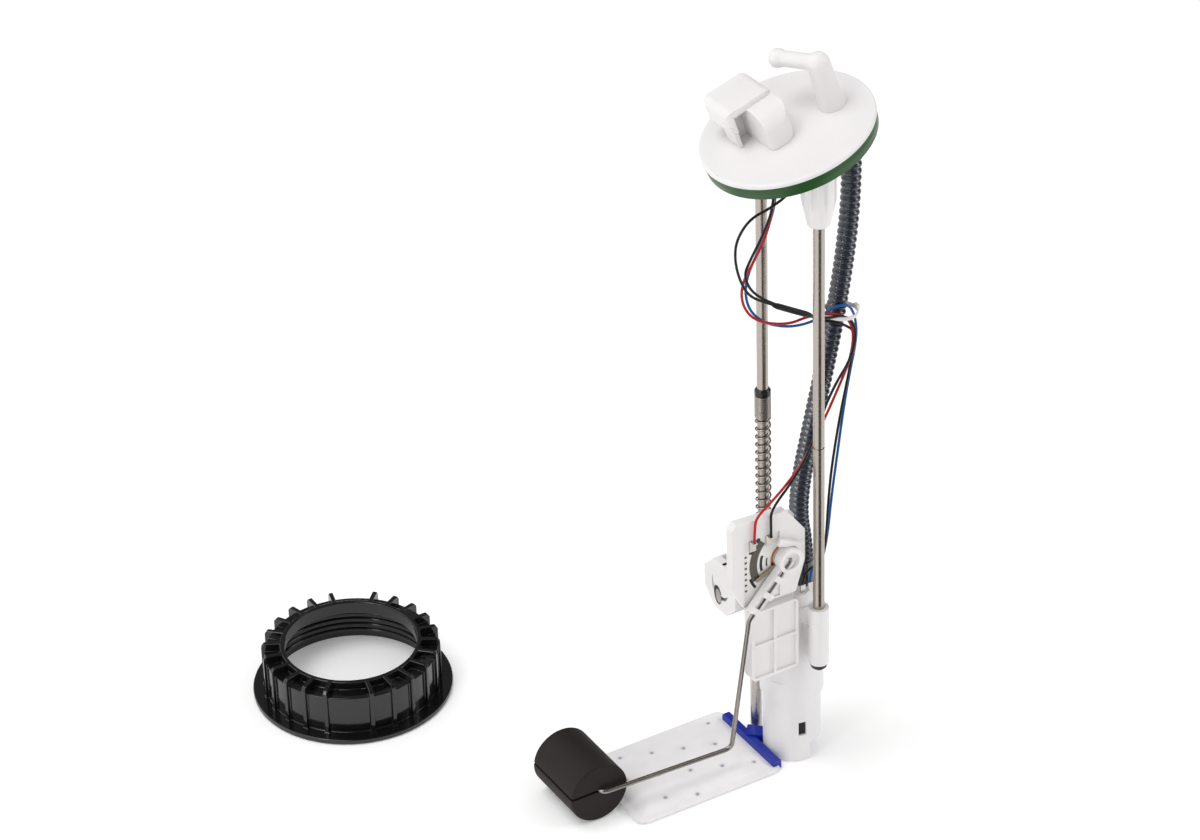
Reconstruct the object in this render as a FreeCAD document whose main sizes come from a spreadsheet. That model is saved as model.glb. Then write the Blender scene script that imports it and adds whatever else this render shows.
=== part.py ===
import FreeCAD, Part
import math
import os
import Sketcher

from FreeCAD import Placement, Rotation, Vector

# A fuel pump module: a tilted tank cover on two guide rods, a pump in its carrier and cup, a strainer bag,
# a level sender with its float arm, and the lock ring that holds the cover. Millimetres, +Z up along the rods.
# The origin is the foot of the cup on its axis. The sender faces -Y and the strainer bag lies towards -X.

os.makedirs("parts", exist_ok=True)
doc = FreeCAD.newDocument("fuel_pump")

# Driving dimensions
DIMENSIONS = {
    # guide rods and their sleeves
    "rod_diameter": 6.35,
    "rod_spacing": 56.0,
    "rod_clearance": 0.06,
    "rod_top": 384.0,
    "front_rod_foot": 72.4,
    "back_rod_foot": 52.0,
    "groove_height": 218.0,
    "groove_depth": 0.5,
    "groove_width": 1.4,
    "sleeve_radius": 5.65,
    "front_sleeve_foot": 75.3,
    "front_sleeve_length": 37.0,
    "back_sleeve_foot": 71.3,
    "back_sleeve_length": 68.0,
    # cup
    "cup_radius": 16.4,
    "cup_wall": 1.5,
    "cup_height": 62.0,
    "foot_height": 11.0,
    "foot_edge": 2.0,
    "cup_floor": 1.6,
    "inlet_hole": 4.3,
    "window_width": 4.6,
    "window_height": 9.0,
    "window_foot": 17.5,
    "window_angle": 259.0,
    # carrier round the pump
    "slip": 0.05,
    "collar_wall": 1.55,
    "collar_foot": 42.3,
    "shoulder_foot": 96.4,
    "shoulder_top": 103.4,
    "mouth_gap": 0.2,
    "web_thickness": 7.0,
    "latch_angle": 210.0,
    # pump
    "can_radius": 13.2,
    "can_wall": 0.9,
    "can_foot": 14.0,
    "can_length": 79.0,
    "plate_thickness": 5.0,
    "impeller_thickness": 3.8,
    "impeller_radius": 10.8,
    "vane_count": 24,
    "vane_depth": 1.6,
    "running_gap": 0.06,
    "shaft_radius": 1.6,
    "shaft_length": 70.0,
    "armature_radius": 8.0,
    "armature_length": 30.0,
    "armature_foot": 34.0,
    "slot_count": 8,
    "slot_width": 1.6,
    "magnet_gap": 0.8,
    "commutator_radius": 4.6,
    "commutator_length": 8.0,
    "brush_size": 4.0,
    "isolator_top": 32.0,
    "bell_sleeve": 26.5,
    "bell_shoulder": 13.0,
    "bell_height": 17.0,
    "bell_top_radius": 11.4,
    "brush_room": 10.5,
    "tab_x": 0.5,
    "tab_y": -9.2,
    "tab_pitch": 5.0,
    "spud_x": 8.5,
    "spud_radius": 3.9,
    "spud_bore": 2.7,
    "spud_top": 121.0,
    "valve_radius": 2.0,
    "valve_foot": 100.0,
    # strainer
    "bag_length": 95.0,
    "bag_width": 67.0,
    "bag_thickness": 6.0,
    "bag_rim": 3.0,
    "bag_right": -17.6,
    "bag_back": 48.0,
    "clip_length": 54.0,
    "clip_width": 5.4,
    "clip_height": 5.6,
    "clip_back": 39.0,
    "neck_width": 9.0,
    "neck_height": 5.8,
    "ground_gap": 0.8,
    # support tube
    "tube_radius": 3.4,
    "tube_bore": 2.6,
    "tube_x": -8.5,
    "tube_y": 24.0,
    "tube_length": 71.0,
    # level sender
    "panel_face": -24.6,
    "panel_depth": 7.6,
    "panel_height": 46.0,
    "panel_round": 3.0,
    "bracket_thickness": 3.0,
    "bracket_left": -41.5,
    "bracket_right": -11.0,
    "bracket_foot": 74.6,
    "bracket_top": 175.8,
    "rib_height": 1.4,
    "rib_width": 1.6,
    "frame_depth": 5.6,
    "frame_left": -54.4,
    "frame_right": -7.4,
    "frame_top": 183.9,
    "frame_foot": 126.8,
    "pivot_x": -20.0,
    "pivot_z": 152.2,
    "pin_radius": 1.6,
    "hub_radius": 7.5,
    "hub_thickness": 6.0,
    "hub_gap": 0.3,
    "track_radius": 22.8,
    "card_thickness": 0.8,
    "card_width": 23.0,
    "card_height": 42.6,
    "track_start": 135.0,
    "track_sweep": 70.0,
    "track_width": 4.6,
    "track_thickness": 0.3,
    "recess_depth": 1.6,
    "red_tab_x": -41.0,
    "black_tab_x": -30.4,
    "tab_z": 170.2,
    "pin_reach": 2.0,
    "wire_sink": 1.5,
    "arm_angle": 227.9,
    "channel_length": 36.0,
    "channel_width": 6.4,
    "wire_radius": 1.35,
    "wire_bend": 4.0,
    "wiper_angle": 205.0,
    "arm_reach": 40.4,
    "heel_x": -42.3,
    "heel_z": 16.4,
    "low_y": -3.0,
    "low_end_x": -127.0,
    "low_end_z": 20.0,
    "float_radius": 18.0,
    "float_length": 42.5,
    "float_x": -127.0,
    "float_front": -0.4,
    # pressure regulator
    "regulator_z": 126.8,
    "regulator_face": -46.6,
    "regulator_radius": 15.8,
    "regulator_wall": 1.8,
    "regulator_cap_length": 12.0,
    "crescent_radius": 8.4,
    "holder_length": 26.0,
    # tank cover
    "cover_tilt": 17.2,
    "cover_lean": 8.4,
    "cover_x": -1.8,
    "cover_z": 402.6,
    "cover_radius": 48.2,
    "cover_thickness": 2.4,
    "cover_round": 1.4,
    "skirt_inset": 7.5,
    "skirt_wall": 8.0,
    "seal_thickness": 7.3,
    "seal_inset": 0.7,
    "boss_radius": 6.3,
    "boss_flare": 9.6,
    "boss_foot": 357.3,
    "boss_cone": 16.0,
    "boss_rib": 1.5,
    "spud_grip": 14.0,
    "spud_length": 22.0,
    "stem_x": 26.5,
    "stem_y": -5.3,
    "stem_radius": 7.4,
    "stem_tip_radius": 6.2,
    "elbow_height": 27.6,
    "nipple_radius": 4.4,
    "nipple_length": 28.6,
    "nipple_angle": 115.8,
    "bead_radius": 5.2,
    "bead_length": 7.0,
    "fuel_bore": 2.6,
    "shroud_length": 25.5,
    "shroud_width": 30.0,
    "shroud_height": 13.5,
    "shroud_foot": 10.0,
    "shroud_x": -28.5,
    "shroud_y": 4.5,
    "shroud_round": 5.0,
    "shroud_wall": 2.2,
    "shroud_depth": 13.0,
    "pin_size": 1.6,
    "post_inset": 2.5,
    "post_length": 11.0,
    "core_inset": 4.2,
    "core_width": 7.8,
    "core_height": 19.5,
    "core_depth": 9.5,
    "brace_inset": 12.0,
    "brace_reach": 17.0,
    "brace_height": 20.5,
    "brace_round": 12.0,
    "brace_corner": 9.0,
    # hose, spring and small pieces
    "hose_x": 34.0,
    "hose_y": -8.0,
    "hose_top": 398.6,
    "hose_radius": 5.6,
    "hose_bore": 4.0,
    "spring_radius": 4.6,
    "spring_wire": 1.1,
    "spring_top": 221.5,
    "closed_turns": 12.0,
    "open_turns": 13.0,
    "retainer_radius": 4.6,
    "retainer_height": 4.0,
    "end_cap_radius": 5.0,
    "end_cap_height": 3.2,
    "gland_x": -12.5,
    "gland_y": -7.0,
    "gland_foot": 376.0,
    "wire_gauge": 0.75,
    "splice_radius": 1.7,
    "splice_gap": 0.15,
    "tie_width": 2.1,
    "tie_radius": 8.8,
    "tie_x": 25.9,
    "tie_y": -9.85,
    "tie_z": 284.65,
    # lock ring
    "ring_x": -182.7,
    "ring_y": 186.3,
    "ring_lip_radius": 58.0,
    "ring_lip": 3.0,
    "ring_radius": 50.0,
    "ring_bore": 48.6,
    "ring_height": 31.5,
    "ring_shoulder": 26.5,
    "ring_rim_radius": 41.0,
    "ring_hole": 38.5,
    "ring_top": 3.0,
    "fin_reach": 51.8,
    "fin_thickness": 2.6,
    "fin_count": 11,
    "fin_span": 150.0,
    "ring_turn": 75.0,
}

sheet = doc.addObject("Spreadsheet::Sheet", "Sizes")
for row, (alias, number) in enumerate(DIMENSIONS.items(), start=1):
    sheet.set(f"A{row}", alias)
    sheet.set(f"B{row}", str(number))
    sheet.setAlias(f"B{row}", alias)
doc.recompute()


class Size:
    """A number with the sheet formula that it comes from, so that what is worked out stays bound to the sheet."""

    def __init__(self, number, formula):
        self.number = number
        self.formula = formula

    def __add__(self, other):
        other = size(other)
        return Size(self.number + other.number, f"({self.formula} + {other.formula})")

    def __sub__(self, other):
        other = size(other)
        return Size(self.number - other.number, f"({self.formula} - {other.formula})")

    def __mul__(self, other):
        other = size(other)
        return Size(self.number * other.number, f"({self.formula} * {other.formula})")

    def __truediv__(self, other):
        other = size(other)
        return Size(self.number / other.number, f"({self.formula} / {other.formula})")

    def __neg__(self):
        return size(0) - self

    def __radd__(self, other):
        return size(other) + self

    def __rsub__(self, other):
        return size(other) - self

    def __rmul__(self, other):
        return size(other) * self


def size(value):
    """A Size from a Size, a plain number or the name of a driving dimension."""
    if isinstance(value, Size):
        return value
    if isinstance(value, str):
        return Size(float(sheet.get(value)), f"Sizes.{value}")
    return Size(float(value), f"({float(value)})")


def sine(angle):
    return Size(math.sin(math.radians(angle.number)), f"sin({angle.formula})")


def cosine(angle):
    return Size(math.cos(math.radians(angle.number)), f"cos({angle.formula})")


def bind(item, **values):
    """Sets properties of an item by the formulas of their sizes."""
    for name, value in values.items():
        item.setExpression(name, size(value).formula)


def place(item, x=0, y=0, z=0, axis=(0, 0, 1), angle=0):
    """Puts an item at a point, turned about an axis through it."""
    x, y, z, angle = size(x), size(y), size(z), size(angle)
    base = Vector(x.number, y.number, z.number)
    item.Placement = Placement(base, Rotation(Vector(*axis), angle.number))
    item.setExpression("Placement.Base.x", x.formula)
    item.setExpression("Placement.Base.y", y.formula)
    item.setExpression("Placement.Base.z", z.formula)
    item.setExpression("Placement.Rotation.Angle", angle.formula)
    return item


def box(label, length, width, height, **where):
    item = doc.addObject("Part::Box", label)
    bind(item, Length=length, Width=width, Height=height)
    return place(item, **where)


def cylinder(label, radius, height, **where):
    item = doc.addObject("Part::Cylinder", label)
    bind(item, Radius=radius, Height=height)
    return place(item, **where)


def cone(label, foot_radius, top_radius, height, **where):
    item = doc.addObject("Part::Cone", label)
    bind(item, Radius1=foot_radius, Radius2=top_radius, Height=height)
    return place(item, **where)


def fuse(label, pieces):
    item = doc.addObject("Part::MultiFuse", label)
    item.Shapes = pieces
    item.Refine = True
    return item


def cut(label, base, tools):
    """Takes one tool, or several fused as one, out of a base."""
    item = doc.addObject("Part::Cut", label)
    item.Base = base
    item.Tool = tools[0] if len(tools) == 1 else fuse(label + "_tools", tools)
    item.Refine = True
    return item


def stepped(corner, other, distance):
    """The point at a distance from a corner, along its level or upright side towards another corner."""
    if abs(other[1].number - corner[1].number) < 1e-9:
        step = distance if other[0].number > corner[0].number else -distance
        return corner[0] + step, corner[1]
    step = distance if other[1].number > corner[1].number else -distance
    return corner[0], corner[1] + step


def pin_point(sketch, geometry, end, point):
    """Holds one end of a line or arc at a point whose two coordinates are formulas."""
    for kind, value in zip(("DistanceX", "DistanceY"), point):
        index = sketch.addConstraint(Sketcher.Constraint(kind, -1, 1, geometry, end, value.number))
        sketch.setExpression(f"Constraints[{index}]", value.formula)


def outline(body, role, corners):
    """A closed sketch on one of the body's planes. A corner with a third value is rounded to that radius."""
    sketch = body.newObject("Sketcher::SketchObject", body.Label + "_outline")
    plane = next(item for item in body.Origin.OriginFeatures if item.Role == role)
    sketch.AttachmentSupport = [(plane, "")]
    sketch.MapMode = "FlatFace"
    points = [tuple(size(value) for value in corner) for corner in corners]
    count = len(points)
    exits = []
    arcs = []
    for index, corner in enumerate(points):
        before, after = points[index - 1], points[(index + 1) % count]
        if len(corner) == 3:
            inward = stepped(corner, before, corner[2])
            outward = stepped(corner, after, corner[2])
            centre = (inward[0] + outward[0] - corner[0], inward[1] + outward[1] - corner[1])
            exits.append((inward, outward))
            arcs.append((index, centre, corner[2]))
        else:
            exits.append((corner[:2], corner[:2]))
    for index in range(count):
        start, end = exits[index][1], exits[(index + 1) % count][0]
        line = Part.LineSegment(
            Vector(start[0].number, start[1].number, 0), Vector(end[0].number, end[1].number, 0)
        )
        sketch.addGeometry(line)
    rounded = {}
    for index, centre, radius in arcs:
        inward, outward = exits[index]
        first = math.atan2(inward[1].number - centre[1].number, inward[0].number - centre[0].number)
        last = math.atan2(outward[1].number - centre[1].number, outward[0].number - centre[0].number)
        left_turn = math.sin(last - first) > 0
        circle = Part.Circle(Vector(centre[0].number, centre[1].number, 0), Vector(0, 0, 1), radius.number)
        arc = Part.ArcOfCircle(circle, first, last) if left_turn else Part.ArcOfCircle(circle, last, first)
        rounded[index] = (sketch.addGeometry(arc), 1 if left_turn else 2, radius)
    for index in range(count):
        before = (index - 1) % count
        if index in rounded:
            arc, start, radius = rounded[index]
            sketch.addConstraint(Sketcher.Constraint("Coincident", before, 2, arc, start))
            sketch.addConstraint(Sketcher.Constraint("Coincident", arc, 3 - start, index, 1))
            pin_point(sketch, before, 2, exits[index][0])
            pin_point(sketch, index, 1, exits[index][1])
            bound = sketch.addConstraint(Sketcher.Constraint("Radius", arc, radius.number))
            sketch.setExpression(f"Constraints[{bound}]", radius.formula)
        else:
            sketch.addConstraint(Sketcher.Constraint("Coincident", before, 2, index, 1))
            pin_point(sketch, index, 1, exits[index][1])
    return sketch


def new_body(label):
    return doc.addObject("PartDesign::Body", label)


def revolve(body, corners, about="V_Axis"):
    """Turns an outline of radii and heights about the body's Z axis, or about its X axis for H_Axis."""
    turn = body.newObject("PartDesign::Revolution", body.Label + "_turn")
    turn.Profile = outline(body, "XZ_Plane", corners)
    turn.ReferenceAxis = (turn.Profile[0], [about])
    turn.Angle = 360.0
    return turn


def turned(label, corners, about="V_Axis", **where):
    body = new_body(label)
    revolve(body, corners, about)
    return place(body, **where)


def pad(body, role, corners, thickness, middle=False):
    """Raises an outline on one of the body's planes by a thickness, or by half of it to each side."""
    item = body.newObject("PartDesign::Pad", body.Label + "_pad")
    item.Profile = outline(body, role, corners)
    if middle:
        item.Midplane = True
    bind(item, Length=thickness)
    return item


def raised(label, role, corners, thickness, middle=False, **where):
    body = new_body(label)
    pad(body, role, corners, thickness, middle)
    return place(body, **where)


def polar(body, feature, count, span, whole_turn=False):
    """Repeats a feature about the body's Z axis and makes the pattern the body's tip."""
    pattern = body.newObject("PartDesign::PolarPattern", feature.Name + "_pattern")
    pattern.Originals = [feature]
    pattern.Axis = (next(item for item in body.Origin.OriginFeatures if item.Role == "Z_Axis"), [""])
    if whole_turn:
        pattern.Angle = 360.0
    else:
        bind(pattern, Angle=span)
    bind(pattern, Occurrences=count)
    body.Tip = pattern
    return pattern


nodes = {}


def keep(label, item):
    """Names an item as one finished piece of the assembly."""
    item.Label = label
    nodes[label] = item
    return item


# Guide rods: two polished steel rods from the cover down into the carrier's sleeves
rod_radius = size("rod_diameter") / 2
front_y = -size("rod_spacing") / 2
back_y = size("rod_spacing") / 2
rod_top = size("rod_top")
groove_top = size("groove_height") + size("groove_width") / 2
groove_foot = size("groove_height") - size("groove_width") / 2
groove_radius = rod_radius - size("groove_depth")


def guide_rod(label, foot, y):
    """A rod whose groove takes a push-on ring; both ends are chamfered."""
    bevel = size("groove_depth")
    height = rod_top - foot
    return turned(
        label,
        [
            (0, 0),
            (rod_radius - bevel, 0),
            (rod_radius, bevel),
            (rod_radius, groove_foot - foot),
            (groove_radius, groove_foot - foot),
            (groove_radius, groove_top - foot),
            (rod_radius, groove_top - foot),
            (rod_radius, height - bevel),
            (rod_radius - bevel, height),
            (0, height),
        ],
        y=y,
        z=foot,
    )


keep("front_guide_rod", guide_rod("front_guide_rod", size("front_rod_foot"), front_y))
keep("back_guide_rod", guide_rod("back_guide_rod", size("back_rod_foot"), back_y))

# Cup: the swirl pot round the pump's foot, with a stepped skirt, a square window and a slot for the strainer's neck
cup_radius = size("cup_radius")
cup_inner = cup_radius - size("cup_wall")
foot_height = size("foot_height")
floor_top = foot_height + size("cup_floor")
cup_turn = turned(
    "cup_turn",
    [
        (size("inlet_hole"), foot_height),
        (cup_inner, foot_height),
        (cup_inner, 0),
        (cup_radius, 0),
        (cup_radius, size("cup_height")),
        (cup_inner, size("cup_height")),
        (cup_inner, floor_top),
        (size("inlet_hole"), floor_top),
    ],
)
skirt_step = box(
    "skirt_step", cup_radius, cup_radius * 2.2, foot_height + 1, x=size("foot_edge"), y=cup_radius * -1.1, z=-1
)
window = box(
    "window",
    cup_radius,
    size("window_width"),
    size("window_height"),
    x=cosine(size("window_angle")) * cup_inner * 0.8 + sine(size("window_angle")) * size("window_width") / 2,
    y=sine(size("window_angle")) * cup_inner * 0.8 - cosine(size("window_angle")) * size("window_width") / 2,
    z=size("window_foot"),
    angle=size("window_angle"),
)
neck_turn = size(135)
neck_height = size("neck_height")
neck_slot = box(
    "neck_slot",
    cup_radius * 1.3,
    size("neck_width") + 1,
    neck_height + size("ground_gap") + 1.4,
    x=sine(neck_turn) * (size("neck_width") + 1) / 2,
    y=-cosine(neck_turn) * (size("neck_width") + 1) / 2,
    z=-1,
    angle=neck_turn,
)
keep("pump_cup", cut("pump_cup", cup_turn, [skirt_step, window, neck_slot]))

# Carrier: a tube over the cup with a domed shoulder, two rod sleeves on webs and the holder of the regulator
slip = size("slip")
collar_inner = cup_radius + slip
collar_radius = collar_inner + size("collar_wall")
collar_foot = size("collar_foot")
shoulder_foot = size("shoulder_foot")
shoulder_top = size("shoulder_top")
mouth = size("can_radius") + size("mouth_gap")
collar_wall = size("collar_wall")
sleeve_radius = size("sleeve_radius")
sleeve_bore = rod_radius + size("rod_clearance")
carrier_shell = turned(
    "carrier_shell",
    [
        (collar_inner, collar_foot),
        (collar_radius, collar_foot),
        (collar_radius, shoulder_foot),
        (mouth + collar_wall, shoulder_top),
        (mouth, shoulder_top),
        (mouth, shoulder_top - collar_wall * 1.5),
        (collar_inner, shoulder_foot - 1),
    ],
)
web = size("web_thickness")
front_sleeve_foot = size("front_sleeve_foot")
back_sleeve_foot = size("back_sleeve_foot")
front_sleeve = cylinder("front_sleeve", sleeve_radius, size("front_sleeve_length"), y=front_y, z=front_sleeve_foot)
back_sleeve = cylinder("back_sleeve", sleeve_radius, size("back_sleeve_length"), y=back_y, z=back_sleeve_foot)
web_reach = back_y - collar_inner - 1
front_web = box(
    "front_web",
    web,
    web_reach,
    shoulder_foot - front_sleeve_foot,
    x=-web / 2,
    y=front_y,
    z=front_sleeve_foot,
)
back_web = box(
    "back_web", web, web_reach, shoulder_foot - back_sleeve_foot, x=-web / 2, y=collar_inner + 1, z=back_sleeve_foot
)
tube_x = size("tube_x")
tube_y = size("tube_y")
tube_radius = size("tube_radius")
tube_socket = cylinder("tube_socket", tube_radius + 1.6, 14, x=tube_x, y=tube_y, z=size("tube_length") - 8)
socket_web = box(
    "socket_web", tube_radius * 2, web_reach, 14, x=tube_x - tube_radius, y=tube_y - web_reach, z=size("tube_length") - 8
)
bore_reach = rod_top - collar_foot
rod_bores = [
    cylinder("front_bore", sleeve_bore, bore_reach, y=front_y, z=collar_foot),
    cylinder("back_bore", sleeve_bore, bore_reach, y=back_y, z=collar_foot),
    cylinder("tube_seat", tube_radius, size("tube_length"), x=tube_x, y=tube_y),
    cylinder("pump_room", collar_inner, shoulder_foot - collar_foot - 1, z=collar_foot),
    cylinder("bell_room", mouth, 20, z=shoulder_foot - 3),
]
regulator_z = size("regulator_z")
holder_front = size("regulator_face") + size("regulator_cap_length")
holder_radius = size("regulator_radius") - size("regulator_wall") - slip
holder = cylinder(
    "holder", holder_radius, size("holder_length"), x=holder_front, z=regulator_z, axis=(0, 1, 0), angle=90
)
holder_post = box(
    "holder_post",
    10,
    holder_radius,
    regulator_z - shoulder_foot + 8,
    x=-collar_radius - 2,
    y=-holder_radius / 2,
    z=shoulder_foot - 8,
)
regulator_bore = cylinder(
    "regulator_bore",
    holder_radius - size("regulator_wall"),
    size("holder_length"),
    x=holder_front - 2,
    z=regulator_z,
    axis=(0, 1, 0),
    angle=90,
)
latch = size("latch_angle")
latches = [
    box(
        f"latch_{index}",
        4,
        9,
        4.5,
        x=cosine(latch + index * 120) * (collar_radius - 0.6) + sine(latch + index * 120) * 4.5,
        y=sine(latch + index * 120) * (collar_radius - 0.6) - cosine(latch + index * 120) * 4.5,
        z=collar_foot + 12,
        angle=latch + index * 120,
    )
    for index in range(2)
]
bracket_left = size("bracket_left")
bracket_right = size("bracket_right")
bracket_foot = size("bracket_foot")
bracket_width = bracket_right - bracket_left
panel_height = size("panel_height")
panel_face = size("panel_face")
bracket_back = panel_face + size("panel_depth")
bracket_thickness = size("bracket_thickness")
panel_round = size("panel_round")
bracket_plate = raised(
    "bracket_plate",
    "XZ_Plane",
    [
        (bracket_left, bracket_foot, panel_round),
        (bracket_right, bracket_foot, panel_round),
        (bracket_right, size("bracket_top"), panel_round),
        (bracket_left, size("bracket_top"), panel_round),
    ],
    bracket_thickness,
    y=bracket_back,
)
panel = raised(
    "panel",
    "XZ_Plane",
    [
        (bracket_left, bracket_foot, panel_round),
        (bracket_right, bracket_foot, panel_round),
        (bracket_right, bracket_foot + panel_height, panel_round),
        (bracket_left, bracket_foot + panel_height, panel_round),
    ],
    size("panel_depth"),
    y=bracket_back,
)
rib_width = size("rib_width")
pocket_width = (bracket_width - rib_width * 3) / 2
pocket_height = (panel_height - rib_width * 3) / 2
pockets = [
    box(
        f"pocket_{column}_{row}",
        pocket_width,
        size("rib_height") + 1,
        pocket_height,
        x=bracket_left + rib_width + (pocket_width + rib_width) * column,
        y=panel_face - 1,
        z=bracket_foot + rib_width + (pocket_height + rib_width) * row,
    )
    for column in range(2)
    for row in range(2)
]
bracket_ribs = [
    box(
        f"bracket_rib_{index}",
        9,
        -bracket_back - 8,
        3,
        x=bracket_right - 9,
        y=bracket_back - 0.5,
        z=bracket_foot + 5 + 14 * index,
    )
    for index in range(2)
]
carrier_solid = fuse(
    "carrier_solid",
    [
        carrier_shell,
        front_sleeve,
        back_sleeve,
        front_web,
        back_web,
        tube_socket,
        socket_web,
        holder,
        holder_post,
        bracket_plate,
        panel,
    ]
    + bracket_ribs,
)
keep("pump_carrier", cut("pump_carrier", carrier_solid, rod_bores + [regulator_bore] + latches + pockets))

# Support tube: a plain tube pressed into the carrier, slotted at its foot, that stands beside the cup
support = turned(
    "support",
    [
        (size("tube_bore"), 0),
        (tube_radius, 0),
        (tube_radius, size("tube_length")),
        (size("tube_bore"), size("tube_length")),
    ],
    x=tube_x,
    y=tube_y,
)
support_slot = box(
    "support_slot", tube_radius * 2, 1.8, 18, x=tube_x, y=tube_y - 0.9, z=6, axis=(0, 0, 1), angle=-40
)
keep("support_tube", cut("support_tube", support, [support_slot]))

# Pump: a steel can with the end bell at its top and the inlet cover at its foot
can_radius = size("can_radius")
can_inner = can_radius - size("can_wall")
can_foot = size("can_foot")
can_top = can_foot + size("can_length")
running_gap = size("running_gap")
shaft_radius = size("shaft_radius")
shaft_bore = shaft_radius + running_gap
keep(
    "pump_can",
    turned(
        "pump_can",
        [(can_inner, can_foot), (can_radius, can_foot), (can_radius, can_top), (can_inner, can_top)],
    ),
)
isolator_top = size("isolator_top")
keep(
    "pump_isolator",
    turned(
        "pump_isolator",
        [
            (can_inner - 3, floor_top),
            (cup_inner, floor_top),
            (cup_inner, isolator_top),
            (can_radius, isolator_top),
            (can_radius, can_foot),
            (can_inner - 3, can_foot),
        ],
    ),
)
cover_top = can_foot + size("plate_thickness")
nipple_foot = size("ground_gap") + 1.4
inlet_radius = size("inlet_hole") - slip
keep(
    "inlet_cover",
    turned(
        "inlet_cover",
        [
            (size("spud_bore"), nipple_foot),
            (inlet_radius, nipple_foot),
            (inlet_radius, can_foot),
            (can_inner, can_foot),
            (can_inner, cover_top),
            (size("spud_bore"), cover_top),
        ],
    ),
)

# Impeller: a flat turbine wheel with radial vane slots round its rim
impeller_radius = size("impeller_radius")
impeller_thickness = size("impeller_thickness")
impeller_foot = cover_top + running_gap
impeller = new_body("impeller")
revolve(
    impeller,
    [
        (shaft_radius, 0),
        (impeller_radius, 0),
        (impeller_radius, impeller_thickness),
        (shaft_radius, impeller_thickness),
    ],
)
vane_slot = impeller.newObject("PartDesign::Pocket", "vane_slot")
vane_depth = size("vane_depth")
vane_half = vane_depth / 4
vane_slot.Profile = outline(
    impeller,
    "XY_Plane",
    [
        (impeller_radius - vane_depth, -vane_half),
        (impeller_radius + 1, -vane_half),
        (impeller_radius + 1, vane_half),
        (impeller_radius - vane_depth, vane_half),
    ],
)
vane_slot.Reversed = True
bind(vane_slot, Length=impeller_thickness)
polar(impeller, vane_slot, size("vane_count"), 360, whole_turn=True)
keep("impeller", place(impeller, z=impeller_foot))

chamber_foot = impeller_foot + impeller_thickness + running_gap
chamber_top = chamber_foot + size("plate_thickness")
keep(
    "chamber_plate",
    turned(
        "chamber_plate",
        [
            (shaft_bore, chamber_foot),
            (impeller_radius + 0.3, chamber_foot),
            (impeller_radius + 0.3, cover_top),
            (can_inner, cover_top),
            (can_inner, chamber_top),
            (shaft_bore, chamber_top),
        ],
    ),
)

# Rotor: shaft, slotted armature and commutator
shaft_foot = impeller_foot + 0.2
shaft_length = size("shaft_length")
keep("rotor_shaft", cylinder("rotor_shaft", shaft_radius, shaft_length, z=shaft_foot))
armature_radius = size("armature_radius")
armature_length = size("armature_length")
armature = new_body("armature")
revolve(
    armature,
    [
        (shaft_radius, 0),
        (armature_radius, 0),
        (armature_radius, armature_length),
        (shaft_radius, armature_length),
    ],
)
armature_slot = armature.newObject("PartDesign::Pocket", "armature_slot")
slot_half = size("slot_width") / 2
armature_slot.Profile = outline(
    armature,
    "XY_Plane",
    [
        (armature_radius * 0.5, -slot_half),
        (armature_radius + 1, -slot_half),
        (armature_radius + 1, slot_half),
        (armature_radius * 0.5, slot_half),
    ],
)
armature_slot.Reversed = True
bind(armature_slot, Length=armature_length)
polar(armature, armature_slot, size("slot_count"), 360, whole_turn=True)
keep("armature", place(armature, z=size("armature_foot")))
bell_foot = can_top - size("bell_sleeve")
commutator_foot = bell_foot + 0.5
commutator_radius = size("commutator_radius")
commutator_length = size("commutator_length")
keep(
    "commutator",
    turned(
        "commutator",
        [
            (shaft_radius, 0),
            (commutator_radius, 0),
            (commutator_radius, commutator_length),
            (shaft_radius, commutator_length),
        ],
        z=commutator_foot,
    ),
)

# Magnets: two arcs pressed into the can between the chamber plate and the bell
magnet_ring = turned(
    "magnet_ring",
    [
        (armature_radius + size("magnet_gap"), chamber_top),
        (can_inner, chamber_top),
        (can_inner, bell_foot),
        (armature_radius + size("magnet_gap"), bell_foot),
    ],
)
magnet_split = box(
    "magnet_split", 6, can_radius * 2, can_top, x=-3, y=-can_radius, z=can_foot
)
keep("magnets", cut("magnets", magnet_ring, [magnet_split]))

# Bell: the white end cap with the brush room, the upper shaft bush, the outlet spud and its check valve seat
brush_room = size("brush_room")
bush_foot = bell_foot + commutator_length + 1.5
bell_shoulder = can_top + size("bell_shoulder")
bell_top = can_top + size("bell_height")
bell_turn = turned(
    "bell_turn",
    [
        (0, shaft_foot + shaft_length + 0.3),
        (shaft_bore, shaft_foot + shaft_length + 0.3),
        (shaft_bore, bush_foot),
        (brush_room, bush_foot),
        (brush_room, bell_foot),
        (can_inner, bell_foot),
        (can_inner, can_top),
        (can_radius, can_top),
        (can_radius, bell_shoulder),
        (size("bell_top_radius"), bell_top),
        (0, bell_top),
    ],
)
spud_x = size("spud_x")
spud_radius = size("spud_radius")
spud_top = size("spud_top")
valve_foot = size("valve_foot")
bell_spud = cylinder("bell_spud", spud_radius, spud_top - bell_shoulder, x=spud_x, z=bell_shoulder)
valve_room = cylinder("valve_room", size("spud_bore"), spud_top, x=spud_x, z=valve_foot)
passage = cylinder("passage", 1.4, valve_foot - bush_foot + 1, x=spud_x - 1, z=bush_foot - 0.5)
bell_tab_slots = [
    box(f"tab_slot_{index}", 3, 0.8, 8, x=size("tab_x") + size("tab_pitch") * index, y=size("tab_y"), z=bell_top - 6)
    for index in range(2)
]
keep("end_bell", cut("end_bell", fuse("bell_solid", [bell_turn, bell_spud]), [valve_room, passage] + bell_tab_slots))
for index, tab_name in enumerate(("pump_tab_feed", "pump_tab_ground")):
    keep(
        tab_name,
        box(tab_name, 3, 0.8, 11, x=size("tab_x") + size("tab_pitch") * index, y=size("tab_y"), z=bell_top - 6),
    )
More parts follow.
